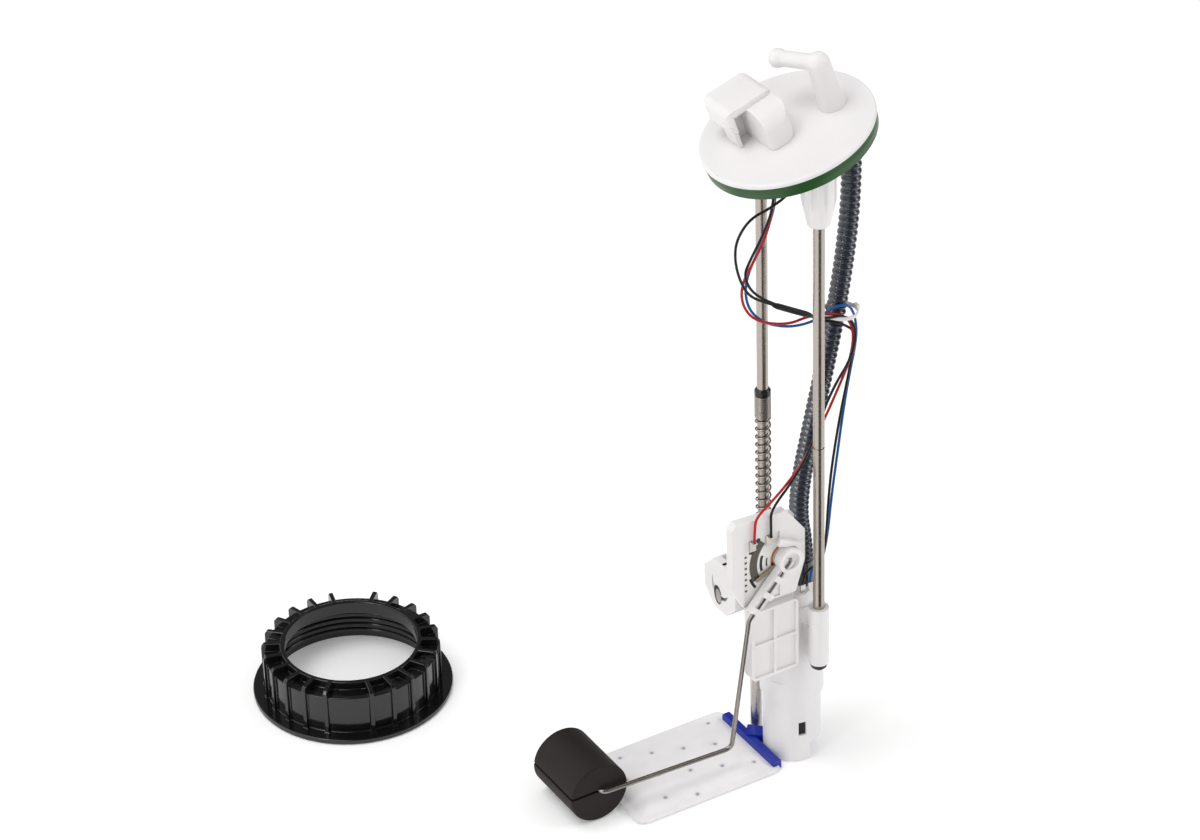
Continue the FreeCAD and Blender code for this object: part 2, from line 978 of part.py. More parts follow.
brush_size = size("brush_size")
brush_start = commutator_radius + running_gap
brush_foot = commutator_foot + (commutator_length - brush_size) / 2
keep(
    "brush_right",
    box(
        "brush_right",
        brush_room - brush_start - 0.35,
        brush_size,
        brush_size,
        x=brush_start,
        y=-brush_size / 2,
        z=brush_foot,
    ),
)
keep(
    "brush_left",
    box(
        "brush_left",
        brush_room - brush_start - 0.35,
        brush_size,
        brush_size,
        x=-brush_room + 0.35,
        y=-brush_size / 2,
        z=brush_foot,
    ),
)
valve_radius = size("valve_radius")
keep(
    "check_valve",
    turned(
        "check_valve",
        [(0, 0), (valve_radius, 0), (valve_radius, 3), (valve_radius * 0.4, 4.2), (0, 4.2)],
        x=spud_x,
        z=valve_foot + 0.05,
    ),
)

# Strainer: a blue clip with its neck to the pump's inlet, and the felt bag that it holds
ground_gap = size("ground_gap")
clip_width = size("clip_width")
clip_length = size("clip_length")
clip_height = size("clip_height")
clip_right = -cup_radius - 0.3
clip_left = clip_right - clip_width
clip_front = size("clip_back") - clip_length
clip_bar = raised(
    "clip_bar",
    "XZ_Plane",
    [
        (clip_left, 0),
        (clip_right, 0),
        (clip_right, clip_height, 1.2),
        (clip_left, clip_height, 1.2),
    ],
    clip_length,
    y=size("clip_back"),
)
neck_width = size("neck_width")
clip_neck = box(
    "clip_neck",
    -clip_left * 1.2,
    neck_width,
    neck_height,
    x=sine(neck_turn) * neck_width / 2,
    y=-cosine(neck_turn) * neck_width / 2,
    z=ground_gap,
    angle=neck_turn,
)
clip_eye = cylinder("clip_eye", inlet_radius + 3, neck_height, z=ground_gap)
inlet_seat = cylinder("inlet_seat", inlet_radius, neck_height, z=nipple_foot)
keep("strainer_clip", cut("strainer_clip", fuse("clip_solid", [clip_bar, clip_neck, clip_eye]), [inlet_seat]))


def rectangle(left, front, length, width, height):
    """A closed level wire, from plain numbers."""
    corners = [
        Vector(left, front, height),
        Vector(left + length, front, height),
        Vector(left + length, front + width, height),
        Vector(left, front + width, height),
    ]
    return Part.makePolygon(corners + corners[:1])


def felt_bag():
    """A flat felt bag with thin welded rims, puffed a little in the middle."""
    length, width = size("bag_length").number, size("bag_width").number
    left = size("bag_right").number - length
    front = size("bag_back").number - width
    rim = size("bag_rim").number
    height = size("bag_thickness").number
    layers = [(0.0, 0.0), (1.6, 0.0), (2.4, rim), (height, rim * 3)]
    wires = [
        rectangle(left + inset, front + inset, length - 2 * inset, width - 2 * inset, level)
        for level, inset in layers
    ]
    return Part.makeLoft(wires, True, True)


felt = doc.addObject("Part::Feature", "felt")
felt.Shape = felt_bag()
clip_room = box(
    "clip_room",
    cup_radius + clip_width,
    clip_length + slip * 4,
    clip_height + 4,
    x=clip_left - slip * 2,
    y=clip_front - slip * 2,
    z=-1,
)
keep("strainer_bag", cut("strainer_bag", felt, [clip_room]))

# Level sender: the white frame with the resistor card, two tabs and the pivot pin
panel_back = bracket_back - bracket_thickness
frame_depth = size("frame_depth")
frame_front = panel_back - frame_depth
pivot_x = size("pivot_x")
pivot_z = size("pivot_z")
frame_left = size("frame_left")
frame_right = size("frame_right")
frame_top = size("frame_top")
frame_foot = size("frame_foot")
pin_radius = size("pin_radius")
track_radius = size("track_radius")
frame_plate = raised(
    "frame_plate",
    "XZ_Plane",
    [
        (frame_left, frame_foot + 15),
        (frame_left + 8, frame_foot),
        (frame_right - 6, frame_foot),
        (frame_right, frame_foot + 19),
        (frame_right, frame_foot + 39),
        (frame_right - 12, frame_top - 2),
        (frame_left + 3, frame_top),
        (frame_left, frame_top - 3),
    ],
    frame_depth,
    y=panel_back,
)
card_left = pivot_x - track_radius - 4
card_width = size("card_width")
card_foot = pivot_z - track_radius - 1.5
card_height = size("card_height")
recess_depth = size("recess_depth")
card_recess = box(
    "card_recess",
    card_width,
    recess_depth + 1,
    card_height,
    x=card_left,
    y=frame_front - 1,
    z=card_foot,
)
pin_seat = cylinder(
    "pin_seat", pin_radius, frame_depth + 2, x=pivot_x, y=panel_back + 1, z=pivot_z, axis=(1, 0, 0), angle=90
)
finger = raised(
    "finger",
    "XZ_Plane",
    [
        (pivot_x - 7, pivot_z + 11),
        (pivot_x + 7, pivot_z + 4),
        (pivot_x + 8.6, pivot_z + 7.4),
        (pivot_x - 5, pivot_z + 14.6),
    ],
    3.2,
    y=frame_front,
)
hub_room = cylinder(
    "hub_room",
    size("hub_radius") + 0.5,
    10,
    x=pivot_x,
    y=frame_front,
    z=pivot_z,
    axis=(1, 0, 0),
    angle=90,
)
keep("sender_frame", cut("sender_frame", fuse("frame_solid", [frame_plate, finger]), [card_recess, pin_seat, hub_room]))
card_thickness = size("card_thickness")
card_y = frame_front + recess_depth
keep(
    "resistor_card",
    box(
        "resistor_card",
        card_width - 0.4,
        card_thickness,
        card_height - 0.4,
        x=card_left + 0.2,
        y=card_y - card_thickness,
        z=card_foot + 0.2,
    ),
)
track_thickness = size("track_thickness")
track_ring = doc.addObject("Part::Cylinder", "track_ring")
bind(track_ring, Radius=track_radius, Height=track_thickness, Angle=size("track_sweep"))
place(track_ring)
track_inner = cylinder("track_inner", track_radius - size("track_width"), track_thickness * 3, z=-track_thickness)
track = cut("resistor_track", track_ring, [track_inner])
place(track, x=pivot_x, y=card_y - card_thickness, z=pivot_z, axis=(1, 0, 0), angle=90)
track_ring.setExpression("Placement.Rotation.Angle", size("track_start").formula)
keep("resistor_track", track)
for label, tab_x in (("sender_tab_red", size("red_tab_x")), ("sender_tab_black", size("black_tab_x"))):
    tab_leaf = box(
        label + "_leaf", 4, 0.6, 7, x=tab_x - 2, y=card_y - card_thickness - track_thickness - 0.6, z=size("tab_z") - 7
    )
    tab_ear = box(
        label + "_ear", 2, 3.2, 1, x=tab_x - 1, y=card_y - card_thickness - track_thickness - 3.8, z=size("tab_z") - 1
    )
    keep(label, fuse(label, [tab_leaf, tab_ear]))
hub_gap = size("hub_gap")
hub_back = frame_front - hub_gap
hub_thickness = size("hub_thickness")
pin_reach = size("pin_reach")
keep(
    "pivot_pin",
    cylinder(
        "pivot_pin",
        pin_radius,
        frame_depth + hub_gap + pin_reach,
        x=pivot_x,
        y=panel_back,
        z=pivot_z,
        axis=(1, 0, 0),
        angle=90,
    ),
)


def bent_path(points, radii):
    """A wire of straight runs joined by tangent arcs, one radius for each inner point."""
    edges = []
    start = points[0]
    for before, corner, after, radius in zip(points, points[1:], points[2:], radii):
        inward = (corner - before).normalize()
        outward = (after - corner).normalize()
        half = inward.getAngle(outward) / 2
        setback = radius * math.tan(half)
        first = corner - inward * setback
        last = corner + outward * setback
        bisector = (outward - inward).normalize()
        middle = corner + bisector * (radius / math.cos(half) - radius)
        edges.append(Part.LineSegment(start, first).toShape())
        edges.append(Part.Arc(first, middle, last).toShape())
        start = last
    edges.append(Part.LineSegment(start, points[-1]).toShape())
    return Part.Wire(edges)


def free_radii(points):
    """The largest arcs that the runs of a cord's route allow."""
    radii = []
    for before, corner, after in zip(points, points[1:], points[2:]):
        shorter = min((corner - before).Length, (after - corner).Length)
        turn = (corner - before).getAngle(after - corner)
        radii.append(0.45 * shorter / math.tan(turn / 2))
    return radii


def pipe(points, radii, radius):
    """A round rod bent along a path."""
    path = bent_path(points, radii)
    start = (points[1] - points[0]).normalize()
    section = Part.Wire(Part.makeCircle(radius, points[0], start))
    rod = path.makePipeShell([section], True, True)
    if rod.Volume < 0:
        rod.reverse()
    return rod


# Float arm: white hub with a three-clip channel, the bent steel wire, the brass wiper and the black float
hub_radius = size("hub_radius")
wire_radius = size("wire_radius")
wire_y = hub_back - hub_thickness + size("wire_sink")
arm_angle = size("arm_angle")
wire_bend = size("wire_bend")
channel_width = size("channel_width")
channel_length = size("channel_length")
hub_turn = turned(
    "hub_turn",
    [
        (0, pin_reach + 0.2),
        (pin_radius + running_gap, pin_reach + 0.2),
        (pin_radius + running_gap, 0),
        (hub_radius, 0),
        (hub_radius, hub_thickness),
        (hub_radius - 2.4, hub_thickness),
        (hub_radius - 2.4, hub_thickness - 2),
        (0, hub_thickness - 2),
    ],
)
channel = box("channel", channel_length, channel_width, hub_thickness - 1.6, y=-channel_width / 2, z=0.4)
clips = [
    box(
        f"arm_clip_{index}",
        3.4,
        channel_width,
        2.4,
        x=hub_radius + 3 + (channel_length - hub_radius - 7) / 2 * index,
        y=-channel_width / 2,
        z=hub_thickness - 1.6,
    )
    for index in range(3)
]
wire_groove = cylinder(
    "wire_groove",
    wire_radius + slip,
    channel_length + 2,
    z=hub_thickness - size("wire_sink"),
    axis=(0, 1, 0),
    angle=90,
)
hook_seat = cylinder("hook_seat", wire_radius + slip, 4, z=pin_reach + 0.6)
knee_room = box(
    "knee_room",
    wire_bend,
    (wire_radius + slip) * 2,
    hub_thickness - pin_reach,
    y=-(wire_radius + slip),
    z=pin_reach + 0.6,
)
wiper_turn = size("wiper_angle") - arm_angle
hub_slot = box(
    "hub_slot", track_radius, 2.8, 0.6, x=sine(wiper_turn) * 1.4, y=cosine(wiper_turn) * -1.4, z=-0.1, angle=wiper_turn
)
pin_room = cylinder("pin_room", pin_radius + running_gap, pin_reach + 0.2, z=-0.1)
hub_flat = cut("hub_flat", fuse("hub_solid", [hub_turn, channel] + clips), [wire_groove, hook_seat, knee_room, pin_room, hub_slot])
place(hub_flat, angle=arm_angle)
hub_spin = doc.addObject("Part::Compound", "hub_spin")
hub_spin.Links = [hub_flat]
keep("arm_hub", place(hub_spin, x=pivot_x, y=hub_back, z=pivot_z, axis=(1, 0, 0), angle=90))
low_y = size("low_y").number
hook_y = (hub_back - pin_reach - 0.7).number
elbow_x = pivot_x + cosine(arm_angle) * size("arm_reach")
elbow_z = pivot_z + sine(arm_angle) * size("arm_reach")
pivot_point = Vector(pivot_x.number, wire_y.number, pivot_z.number)
float_points = [
    Vector(pivot_x.number, hook_y, pivot_z.number),
    pivot_point,
    Vector(elbow_x.number, wire_y.number, elbow_z.number),
    Vector(size("heel_x").number, low_y, size("heel_z").number),
    Vector(size("low_end_x").number, low_y, size("low_end_z").number),
    Vector(size("low_end_x").number, low_y + size("float_length").number * 0.7, size("low_end_z").number),
]
float_wire = doc.addObject("Part::Feature", "float_wire")
float_wire.Shape = pipe(float_points, [1.6] + [wire_bend.number] * 3, wire_radius.number)
keep("float_wire", float_wire)
wiper_leaf = box("wiper_leaf", track_radius - hub_radius + 2.5, 2.6, 0.4, x=hub_radius - 4, y=-1.3, z=0)
wiper_foot = cylinder("wiper_foot", 1.2, 0.7, x=track_radius - 2.2, z=-0.7)
wiper_flat = fuse("wiper_flat", [wiper_leaf, wiper_foot])
place(wiper_flat, angle=size("wiper_angle"))
wiper_spin = doc.addObject("Part::Compound", "wiper_spin")
wiper_spin.Links = [wiper_flat]
keep("wiper", place(wiper_spin, x=pivot_x, y=hub_back, z=pivot_z, axis=(1, 0, 0), angle=90))
float_radius = size("float_radius")
float_length = size("float_length")
float_front = size("float_front")
float_turn = turned(
    "float_turn",
    [
        (0, 0),
        (float_radius - 0.8, 0),
        (float_radius, 0.8),
        (float_radius, float_length - 0.8),
        (float_radius - 0.8, float_length),
        (0, float_length),
    ],
    x=size("float_x"),
    y=float_front + float_length,
    z=float_radius,
    axis=(1, 0, 0),
    angle=90,
)
float_bore = cylinder(
    "float_bore",
    wire_radius,
    float_length,
    x=size("low_end_x"),
    y=low_y + float_length * 0.7,
    z=size("low_end_z"),
    axis=(1, 0, 0),
    angle=90,
)
float_slot = box(
    "float_slot",
    wire_bend * 2,
    wire_bend,
    wire_radius * 2.2,
    x=size("float_x") - wire_radius,
    y=float_front - 2,
    z=size("low_end_z") - wire_radius * 1.1,
)
keep("float", cut("float", float_turn, [float_bore, float_slot]))

# Pressure regulator: an eight-sided white cap over a steel can, seated in the carrier's holder
regulator_face = size("regulator_face")
regulator_radius = size("regulator_radius")
cap_length = size("regulator_cap_length")
bore_radius = holder_radius - size("regulator_wall")
octagon_half = regulator_radius * math.tan(math.radians(22.5))
cap_block = raised(
    "cap_block",
    "XY_Plane",
    [
        (-regulator_radius, -octagon_half),
        (-octagon_half, -regulator_radius),
        (octagon_half, -regulator_radius),
        (regulator_radius, -octagon_half),
        (regulator_radius, octagon_half),
        (octagon_half, regulator_radius),
        (-octagon_half, regulator_radius),
        (-regulator_radius, octagon_half),
    ],
    cap_length,
)
cap_wall = size("regulator_wall")
cap_room = cylinder("cap_room", bore_radius, cap_length, z=cap_wall)
crescent_outer = cylinder("crescent_outer", size("crescent_radius"), cap_wall * 3, z=-cap_wall)
crescent_inner = cylinder("crescent_inner", size("crescent_radius"), cap_wall * 3, x=-3, y=-1.2, z=-cap_wall)
crescent = cut("crescent", crescent_outer, [crescent_inner])
side_slot = box("side_slot", 4, 12, 3, x=-regulator_radius - 1, y=-6, z=cap_wall + 3)
cap_flat = cut("cap_flat", cap_block, [cap_room, crescent, side_slot])
keep("regulator_cap", place(cap_flat, x=regulator_face, z=regulator_z, axis=(0, 1, 0), angle=90))
regulator_can_length = cap_length - cap_wall + size("holder_length") - 2
keep(
    "regulator_can",
    turned(
        "regulator_can",
        [
            (0, 0),
            (bore_radius, 0),
            (bore_radius, regulator_can_length),
            (2.5, regulator_can_length),
            (2.5, regulator_can_length - 1),
            (bore_radius - 1, regulator_can_length - 1),
            (bore_radius - 1, 1),
            (0, 1),
        ],
        x=regulator_face + cap_wall,
        z=regulator_z,
        axis=(0, 1, 0),
        angle=90,
    ),
)
keep(
    "regulator_valve",
    turned(
        "regulator_valve",
        [(0, 0), (bore_radius - 3, 0), (bore_radius - 3, 2), (3.4, 2), (3.4, 5), (0, 5)],
        x=regulator_face + cap_wall + regulator_can_length - 6.3,
        z=regulator_z,
        axis=(0, 1, 0),
        angle=90,
    ),
)

# Tank cover: a tilted white disc with a skirt under it and a ribbed boss on each rod
cover_tilt = size("cover_tilt")
cover_x = size("cover_x")
cover_z = size("cover_z")
cover_radius = size("cover_radius")
cover_thickness = size("cover_thickness")
skirt_radius = cover_radius - size("skirt_inset")
seal_thickness = size("seal_thickness")
seal_inset = size("seal_inset")
skirt_depth = cover_thickness + seal_thickness + 0.2
cover_lean = size("cover_lean")
tilt_axis = (-sine(cover_lean).number, -cosine(cover_lean).number, 0)
tilted = {"x": cover_x, "z": cover_z, "axis": tilt_axis, "angle": cover_tilt}


def above_cover(label, height):
    """A block that takes away all that stands above a height in the cover's own frame."""
    half = cover_radius * 2
    block = box(label + "_block", half * 2, half * 2, cover_radius, x=-half, y=-half, z=height)
    tilt = doc.addObject("Part::Compound", label)
    tilt.Links = [block]
    return place(tilt, **tilted)


cover_disc = turned(
    "cover_disc",
    [
        (0, -cover_thickness),
        (skirt_radius - size("skirt_wall"), -cover_thickness),
        (skirt_radius - size("skirt_wall"), -skirt_depth),
        (skirt_radius, -skirt_depth),
        (skirt_radius, -cover_thickness),
        (cover_radius, -cover_thickness),
        (cover_radius, 0, size("cover_round")),
        (0, 0),
    ],
    **tilted,
)
boss_radius = size("boss_radius")
boss_flare = size("boss_flare")
boss_foot = size("boss_foot")
boss_cone = size("boss_cone")
boss_room = cover_z - boss_foot
bosses = []
for name, y in (("front", front_y), ("back", back_y)):
    bosses.append(cone(f"{name}_boss", boss_radius, boss_flare, boss_cone, y=y, z=boss_foot))
    bosses.append(cylinder(f"{name}_boss_stem", boss_flare, boss_room - boss_cone, y=y, z=boss_foot + boss_cone))
boss_trim = cut("boss_trim", fuse("boss_solid", bosses), [above_cover("cover_trim", -2)])
flutes = [
    cylinder(
        f"{name}_flute_{index}",
        size("boss_rib"),
        boss_room,
        x=cosine(size(angle)) * (boss_flare + 0.4),
        y=y + sine(size(angle)) * (boss_flare + 0.4),
        z=boss_foot,
    )
    for name, y in (("front", front_y), ("back", back_y))
    for index, angle in enumerate(range(20, 380, 40))
]
boss_fluted = cut("boss_fluted", boss_trim, flutes)
hose_x = size("hose_x")
hose_y = size("hose_y")
hose_top = size("hose_top")
spud_length = size("spud_length")
spud_foot = hose_top - size("spud_grip")
cover_spud = cylinder("cover_spud", size("hose_bore"), spud_length, x=hose_x, y=hose_y, z=spud_foot)
spud_trim = cut("spud_trim", cover_spud, [above_cover("spud_cut", -skirt_depth + 2)])
cover_bores = [
    cylinder("front_socket", rod_radius, rod_top - boss_foot + 5, y=front_y, z=boss_foot - 5),
    cylinder("back_socket", rod_radius, rod_top - boss_foot + 5, y=back_y, z=boss_foot - 5),
    cylinder("spud_hole", size("fuel_bore"), spud_length, x=hose_x, y=hose_y, z=spud_foot - 1),
]
keep("tank_cover", cut("tank_cover", fuse("cover_solid", [cover_disc, boss_fluted, spud_trim]), cover_bores))
keep(
    "cover_seal",
    turned(
        "cover_seal",
        [
            (skirt_radius, -cover_thickness - seal_thickness),
            (cover_radius - seal_inset * 1.5, -cover_thickness - seal_thickness),
            (cover_radius - seal_inset, -cover_thickness - seal_thickness / 2),
            (cover_radius - seal_inset * 1.5, -cover_thickness),
            (skirt_radius, -cover_thickness),
        ],
        **tilted,
    ),
)

# Fuel elbow: a tapered stem with a level nipple that ends in a rounded bead
stem_x = size("stem_x")
stem_y = size("stem_y")
stem_tip_radius = size("stem_tip_radius")
elbow_height = size("elbow_height")
nipple_radius = size("nipple_radius")
nipple_length = size("nipple_length")
nipple_angle = size("nipple_angle")
bead_radius = size("bead_radius")
bead_length = size("bead_length")
fuel_bore = size("fuel_bore")
elbow_stem = cone("elbow_stem", size("stem_radius"), stem_tip_radius, elbow_height, x=stem_x, y=stem_y)
elbow_knee = doc.addObject("Part::Sphere", "elbow_knee")
bind(elbow_knee, Radius=stem_tip_radius)
place(elbow_knee, x=stem_x, y=stem_y, z=elbow_height)
elbow_nipple = turned(
    "elbow_nipple",
    [
        (0, 0),
        (0, stem_tip_radius - 0.6),
        (stem_tip_radius, nipple_radius),
        (nipple_length - bead_length, nipple_radius),
        (nipple_length - bead_length * 0.7, bead_radius),
        (nipple_length - bead_length * 0.25, bead_radius),
        (nipple_length, nipple_radius - 0.4),
        (nipple_length, 0),
    ],
    about="H_Axis",
    x=stem_x,
    y=stem_y,
    z=elbow_height,
    angle=nipple_angle,
)
stem_bore = cylinder("stem_bore", fuel_bore, elbow_height, x=stem_x, y=stem_y)
nipple_bore = turned(
    "nipple_bore",
    [(0, 0), (0, fuel_bore), (nipple_length + 1, fuel_bore), (nipple_length + 1, 0)],
    about="H_Axis",
    x=stem_x,
    y=stem_y,
    z=elbow_height,
    angle=nipple_angle,
)
elbow_solid = fuse("elbow_solid", [elbow_stem, elbow_knee, elbow_nipple])
keep("fuel_elbow", place(cut("elbow_flat", elbow_solid, [stem_bore, nipple_bore]), **tilted))

# Connector: a socket open towards the back on a post with a cored front, and an arched brace on its right
shroud_x = size("shroud_x")
shroud_y = size("shroud_y")
shroud_foot = size("shroud_foot")
shroud_length = size("shroud_length")
shroud_width = size("shroud_width")
shroud_height = size("shroud_height")
shroud_round = size("shroud_round")
shroud_wall = size("shroud_wall")
shroud_depth = size("shroud_depth")
shroud_right = shroud_x + shroud_width
shroud_back = shroud_y + shroud_length
shroud_top = shroud_foot + shroud_height
post_inset = size("post_inset")
post_length = size("post_length")
core_x = shroud_x + size("core_inset")
core_width = size("core_width")
core_height = size("core_height")
core_depth = size("core_depth")
brace_x = shroud_x + size("brace_inset")
brace_front = shroud_y - size("brace_reach")
brace_height = size("brace_height")
brace_corner = size("brace_corner")
pin_size = size("pin_size")


def common(label, pieces):
    item = doc.addObject("Part::MultiCommon", label)
    item.Shapes = pieces
    item.Refine = True
    return item


shroud_profile = raised(
    "shroud_profile",
    "XZ_Plane",
    [
        (shroud_x, shroud_foot, 3),
        (shroud_right, shroud_foot, 3),
        (shroud_right, shroud_top, shroud_round),
        (shroud_x, shroud_top, shroud_round),
    ],
    shroud_length,
    y=shroud_back,
)
shroud_plan = raised(
    "shroud_plan",
    "XY_Plane",
    [
        (shroud_x, shroud_y, shroud_round),
        (shroud_right, shroud_y, shroud_round),
        (shroud_right, shroud_back, shroud_round),
        (shroud_x, shroud_back, shroud_round),
    ],
    shroud_top,
)
shroud = common("shroud", [shroud_profile, shroud_plan])
post = raised(
    "post",
    "XZ_Plane",
    [
        (shroud_x + post_inset, 0),
        (shroud_right - post_inset, 0),
        (shroud_right - 1, shroud_foot + 4),
        (shroud_x + 1, shroud_foot + 4),
    ],
    post_length,
    y=shroud_y + post_length + 1,
)
brace_profile = raised(
    "brace_profile",
    "YZ_Plane",
    [
        (brace_front, 0),
        (shroud_y + 3, 0),
        (shroud_y + 3, brace_height),
        (brace_front, brace_height, size("brace_round")),
    ],
    shroud_right - 1 - brace_x,
    x=brace_x,
)
brace_plan = raised(
    "brace_plan",
    "XY_Plane",
    [
        (brace_x, brace_front, brace_corner * 0.35),
        (shroud_right - 1, brace_front, brace_corner),
        (shroud_right - 1, shroud_y + 3),
        (brace_x, shroud_y + 3),
    ],
    brace_height + 1,
    z=-1,
)
brace = common("brace", [brace_profile, brace_plan])
core_hole = box("core_hole", core_width, core_depth + 4, core_height, x=core_x, y=shroud_y - 4)
socket_room = raised(
    "socket_room",
    "XZ_Plane",
    [
        (shroud_x + shroud_wall, shroud_foot + shroud_wall, 1.5),
        (shroud_right - shroud_wall, shroud_foot + shroud_wall, 1.5),
        (shroud_right - shroud_wall, shroud_top - shroud_wall, 3),
        (shroud_x + shroud_wall, shroud_top - shroud_wall, 3),
    ],
    shroud_depth + 1,
    y=shroud_back + 1,
)
socket_back = shroud_back - shroud_depth
pin_pitch = (shroud_width - shroud_wall * 2) / 4
pin_x = [shroud_x + shroud_wall + pin_pitch * (index + 0.5) - pin_size / 2 for index in range(4)]
pin_z = shroud_foot + shroud_height / 2 - pin_size / 2
pin_root = socket_back - 2
pin_slots = [
    box(f"pin_slot_{index}", pin_size, 3, pin_size, x=x, y=pin_root, z=pin_z) for index, x in enumerate(pin_x)
]
connector_shell = fuse("connector_shell", [shroud, post, brace])
connector_solid = cut("connector_solid", connector_shell, [core_hole, socket_room] + pin_slots)
keep("connector_housing", place(connector_solid, **tilted))
pins = [
    box(f"pin_{index}", pin_size, shroud_depth - 2, pin_size, x=x, y=pin_root, z=pin_z)
    for index, x in enumerate(pin_x)
]
keep("connector_pins", place(fuse("connector_pins", pins), **tilted))

# Wire gland: the block under the cover that the four wires come out of
gland_x = size("gland_x")
gland_y = size("gland_y")
gland_foot = size("gland_foot")
gland_block = box(
    "gland_block", 15, 11, cover_z - gland_foot, x=gland_x - 7.5, y=gland_y - 5.5, z=gland_foot
)
keep("wire_gland", cut("wire_gland", gland_block, [above_cover("gland_trim", -cover_thickness)]))

# Return spring, its push-on retainer and the end cap of the front rod
spring_radius = size("spring_radius")
spring_wire = size("spring_wire")
spring_top = size("spring_top")
coil_radius = spring_radius - spring_wire / 2
back_sleeve_top = back_sleeve_foot + size("back_sleeve_length")
closed_length = size("closed_turns") * spring_wire * 1.06
open_length = spring_top - back_sleeve_top - closed_length - spring_wire


def coil(label, pitch, length, foot):
    """One stretch of a coil spring, swept along its helix."""
    helix = doc.addObject("Part::Helix", label + "_helix")
    bind(helix, Pitch=pitch, Height=length, Radius=coil_radius)
    section = doc.addObject("Part::Circle", label + "_section")
    bind(section, Radius=spring_wire / 2)
    place(section, x=coil_radius, axis=(1, 0, 0), angle=90)
    sweep = doc.addObject("Part::Sweep", label)
    sweep.Sections = [section]
    sweep.Spine = (helix, ["Edge1"])
    sweep.Solid = True
    sweep.Frenet = True
    return place(sweep, y=back_y, z=foot)


open_coil = coil("open_coil", open_length / size("open_turns"), open_length, back_sleeve_top + spring_wire / 2)
closed_coil = coil(
    "closed_coil", spring_wire * 1.06, closed_length, back_sleeve_top + spring_wire / 2 + open_length
)
return_spring = doc.addObject("Part::Compound", "return_spring")
return_spring.Links = [open_coil, closed_coil]
keep("return_spring", return_spring)
retainer_radius = size("retainer_radius")
retainer_height = size("retainer_height")
keep(
    "spring_retainer",
    turned(
        "spring_retainer",
        [
            (rod_radius, 0),
            (retainer_radius, 0),
            (retainer_radius, retainer_height - 1.2),
            (rod_radius + 0.5, retainer_height),
            (rod_radius, retainer_height),
        ],
        y=back_y,
        z=spring_top,
    ),
)
end_cap_radius = size("end_cap_radius")
end_cap_height = size("end_cap_height")
end_cap_top = front_sleeve_foot - 0.2
front_rod_foot = size("front_rod_foot")
end_cap_foot = end_cap_top - end_cap_height
keep(
    "rod_end_cap",
    turned(
        "rod_end_cap",
        [
            (0, end_cap_foot - 1.4),
            (end_cap_radius - 2.2, end_cap_foot - 1),
            (end_cap_radius - 0.5, end_cap_foot + 0.6),
            (end_cap_radius, end_cap_foot + 2),
            (end_cap_radius, end_cap_top),
            (rod_radius, end_cap_top),
            (rod_radius, front_rod_foot),
            (0, front_rod_foot),
        ],
        y=front_y,
    ),
)


# Cords: each route is a list of points chosen by hand, and its tube is straight runs joined by the largest arcs
def route(*points):
    return [Vector(*point) for point in points]


def cord(label, points, radius, bore=0.0):
    """The tube of a cord along its route."""
    radii = free_radii(points)
    tube = pipe(points, radii, radius)
    if bore:
        tube = tube.cut(pipe(points, radii, bore))
    print(label, "length", round(bent_path(points, radii).Length, 1), "radii", [round(r, 1) for r in radii])
    item = doc.addObject("Part::Feature", label)
    item.Shape = tube
    return keep(label, item)


wire_gauge = size("wire_gauge").number
hose_route = route(
    (hose_x.number, hose_y.number, hose_top.number),
    (hose_x.number, hose_y.number, 366.0),
    (31.4, -8.0, 330.0),
    (25.4, -7.2, 288.0),
    (18.3, -5.5, 249.5),
    (10.8, -4.0, 212.0),
    (5.2, -2.2, 181.0),
    (4.0, -0.8, 156.0),
    (spud_x.number, 0.0, 134.0),
    (spud_x.number, 0.0, bell_top.number),
)
cord("fuel_hose", hose_route, size("hose_radius").number, size("hose_bore").number)
red_route = route(
    (-13.4, -6.0, gland_foot.number),
    (-13.4, -6.0, 364.0),
    (-18.6, -7.0, 346.8),
    (-27.5, -8.0, 333.6),
    (-35.4, -8.0, 321.9),
    (-35.6, -8.2, 309.7),
    (-29.5, -9.0, 298.7),
    (-17.6, -10.0, 292.0),
    (-6.1, -11.0, 289.2),
    (1.6, -12.2, 290.9),
    (12.3, -13.6, 290.3),
    (21.8, -14.6, 287.3),
    (29.1, -14.8, 280.7),
    (31.3, -14.6, 268.8),
    (28.9, -13.8, 254.4),
    (23.6, -12.8, 241.3),
    (14.4, -12.4, 222.9),
    (-0.2, -13.8, 201.1),
    (-12.9, -16.8, 192.5),
    (-27.4, -23.4, 189.3),
    (-38.5, -27.0, 186.5),
    (-41.0, -27.3, 181.0),
    (-41.0, -27.3, size("tab_z").number),
)
black_sender_route = route(
    (-5.9, -11.2, gland_foot.number),
    (-5.9, -11.2, 370.0),
    (-20.3, -12.6, 365.3),
    (-33.0, -13.0, 363.5),
    (-41.5, -13.0, 353.4),
    (-42.7, -13.0, 341.6),
    (-39.7, -13.0, 327.9),
    (-34.1, -13.2, 316.4),
    (-22.8, -13.4, 308.6),
    (-9.3, -13.6, 300.2),
    (5.2, -14.8, 291.8),
    (13.8, -16.2, 288.2),
    (22.7, -16.4, 287.4),
    (29.7, -16.8, 281.0),
    (31.7, -16.4, 269.6),
    (27.4, -16.0, 256.1),
    (20.0, -15.0, 245.4),
    (12.0, -15.0, 231.1),
    (0.5, -16.6, 205.9),
    (-13.2, -18.9, 192.1),
    (-23.0, -22.4, 187.7),
    (-30.0, -26.6, 184.7),
    (-30.4, -27.3, 180.4),
    (-30.4, -27.3, size("tab_z").number),
)
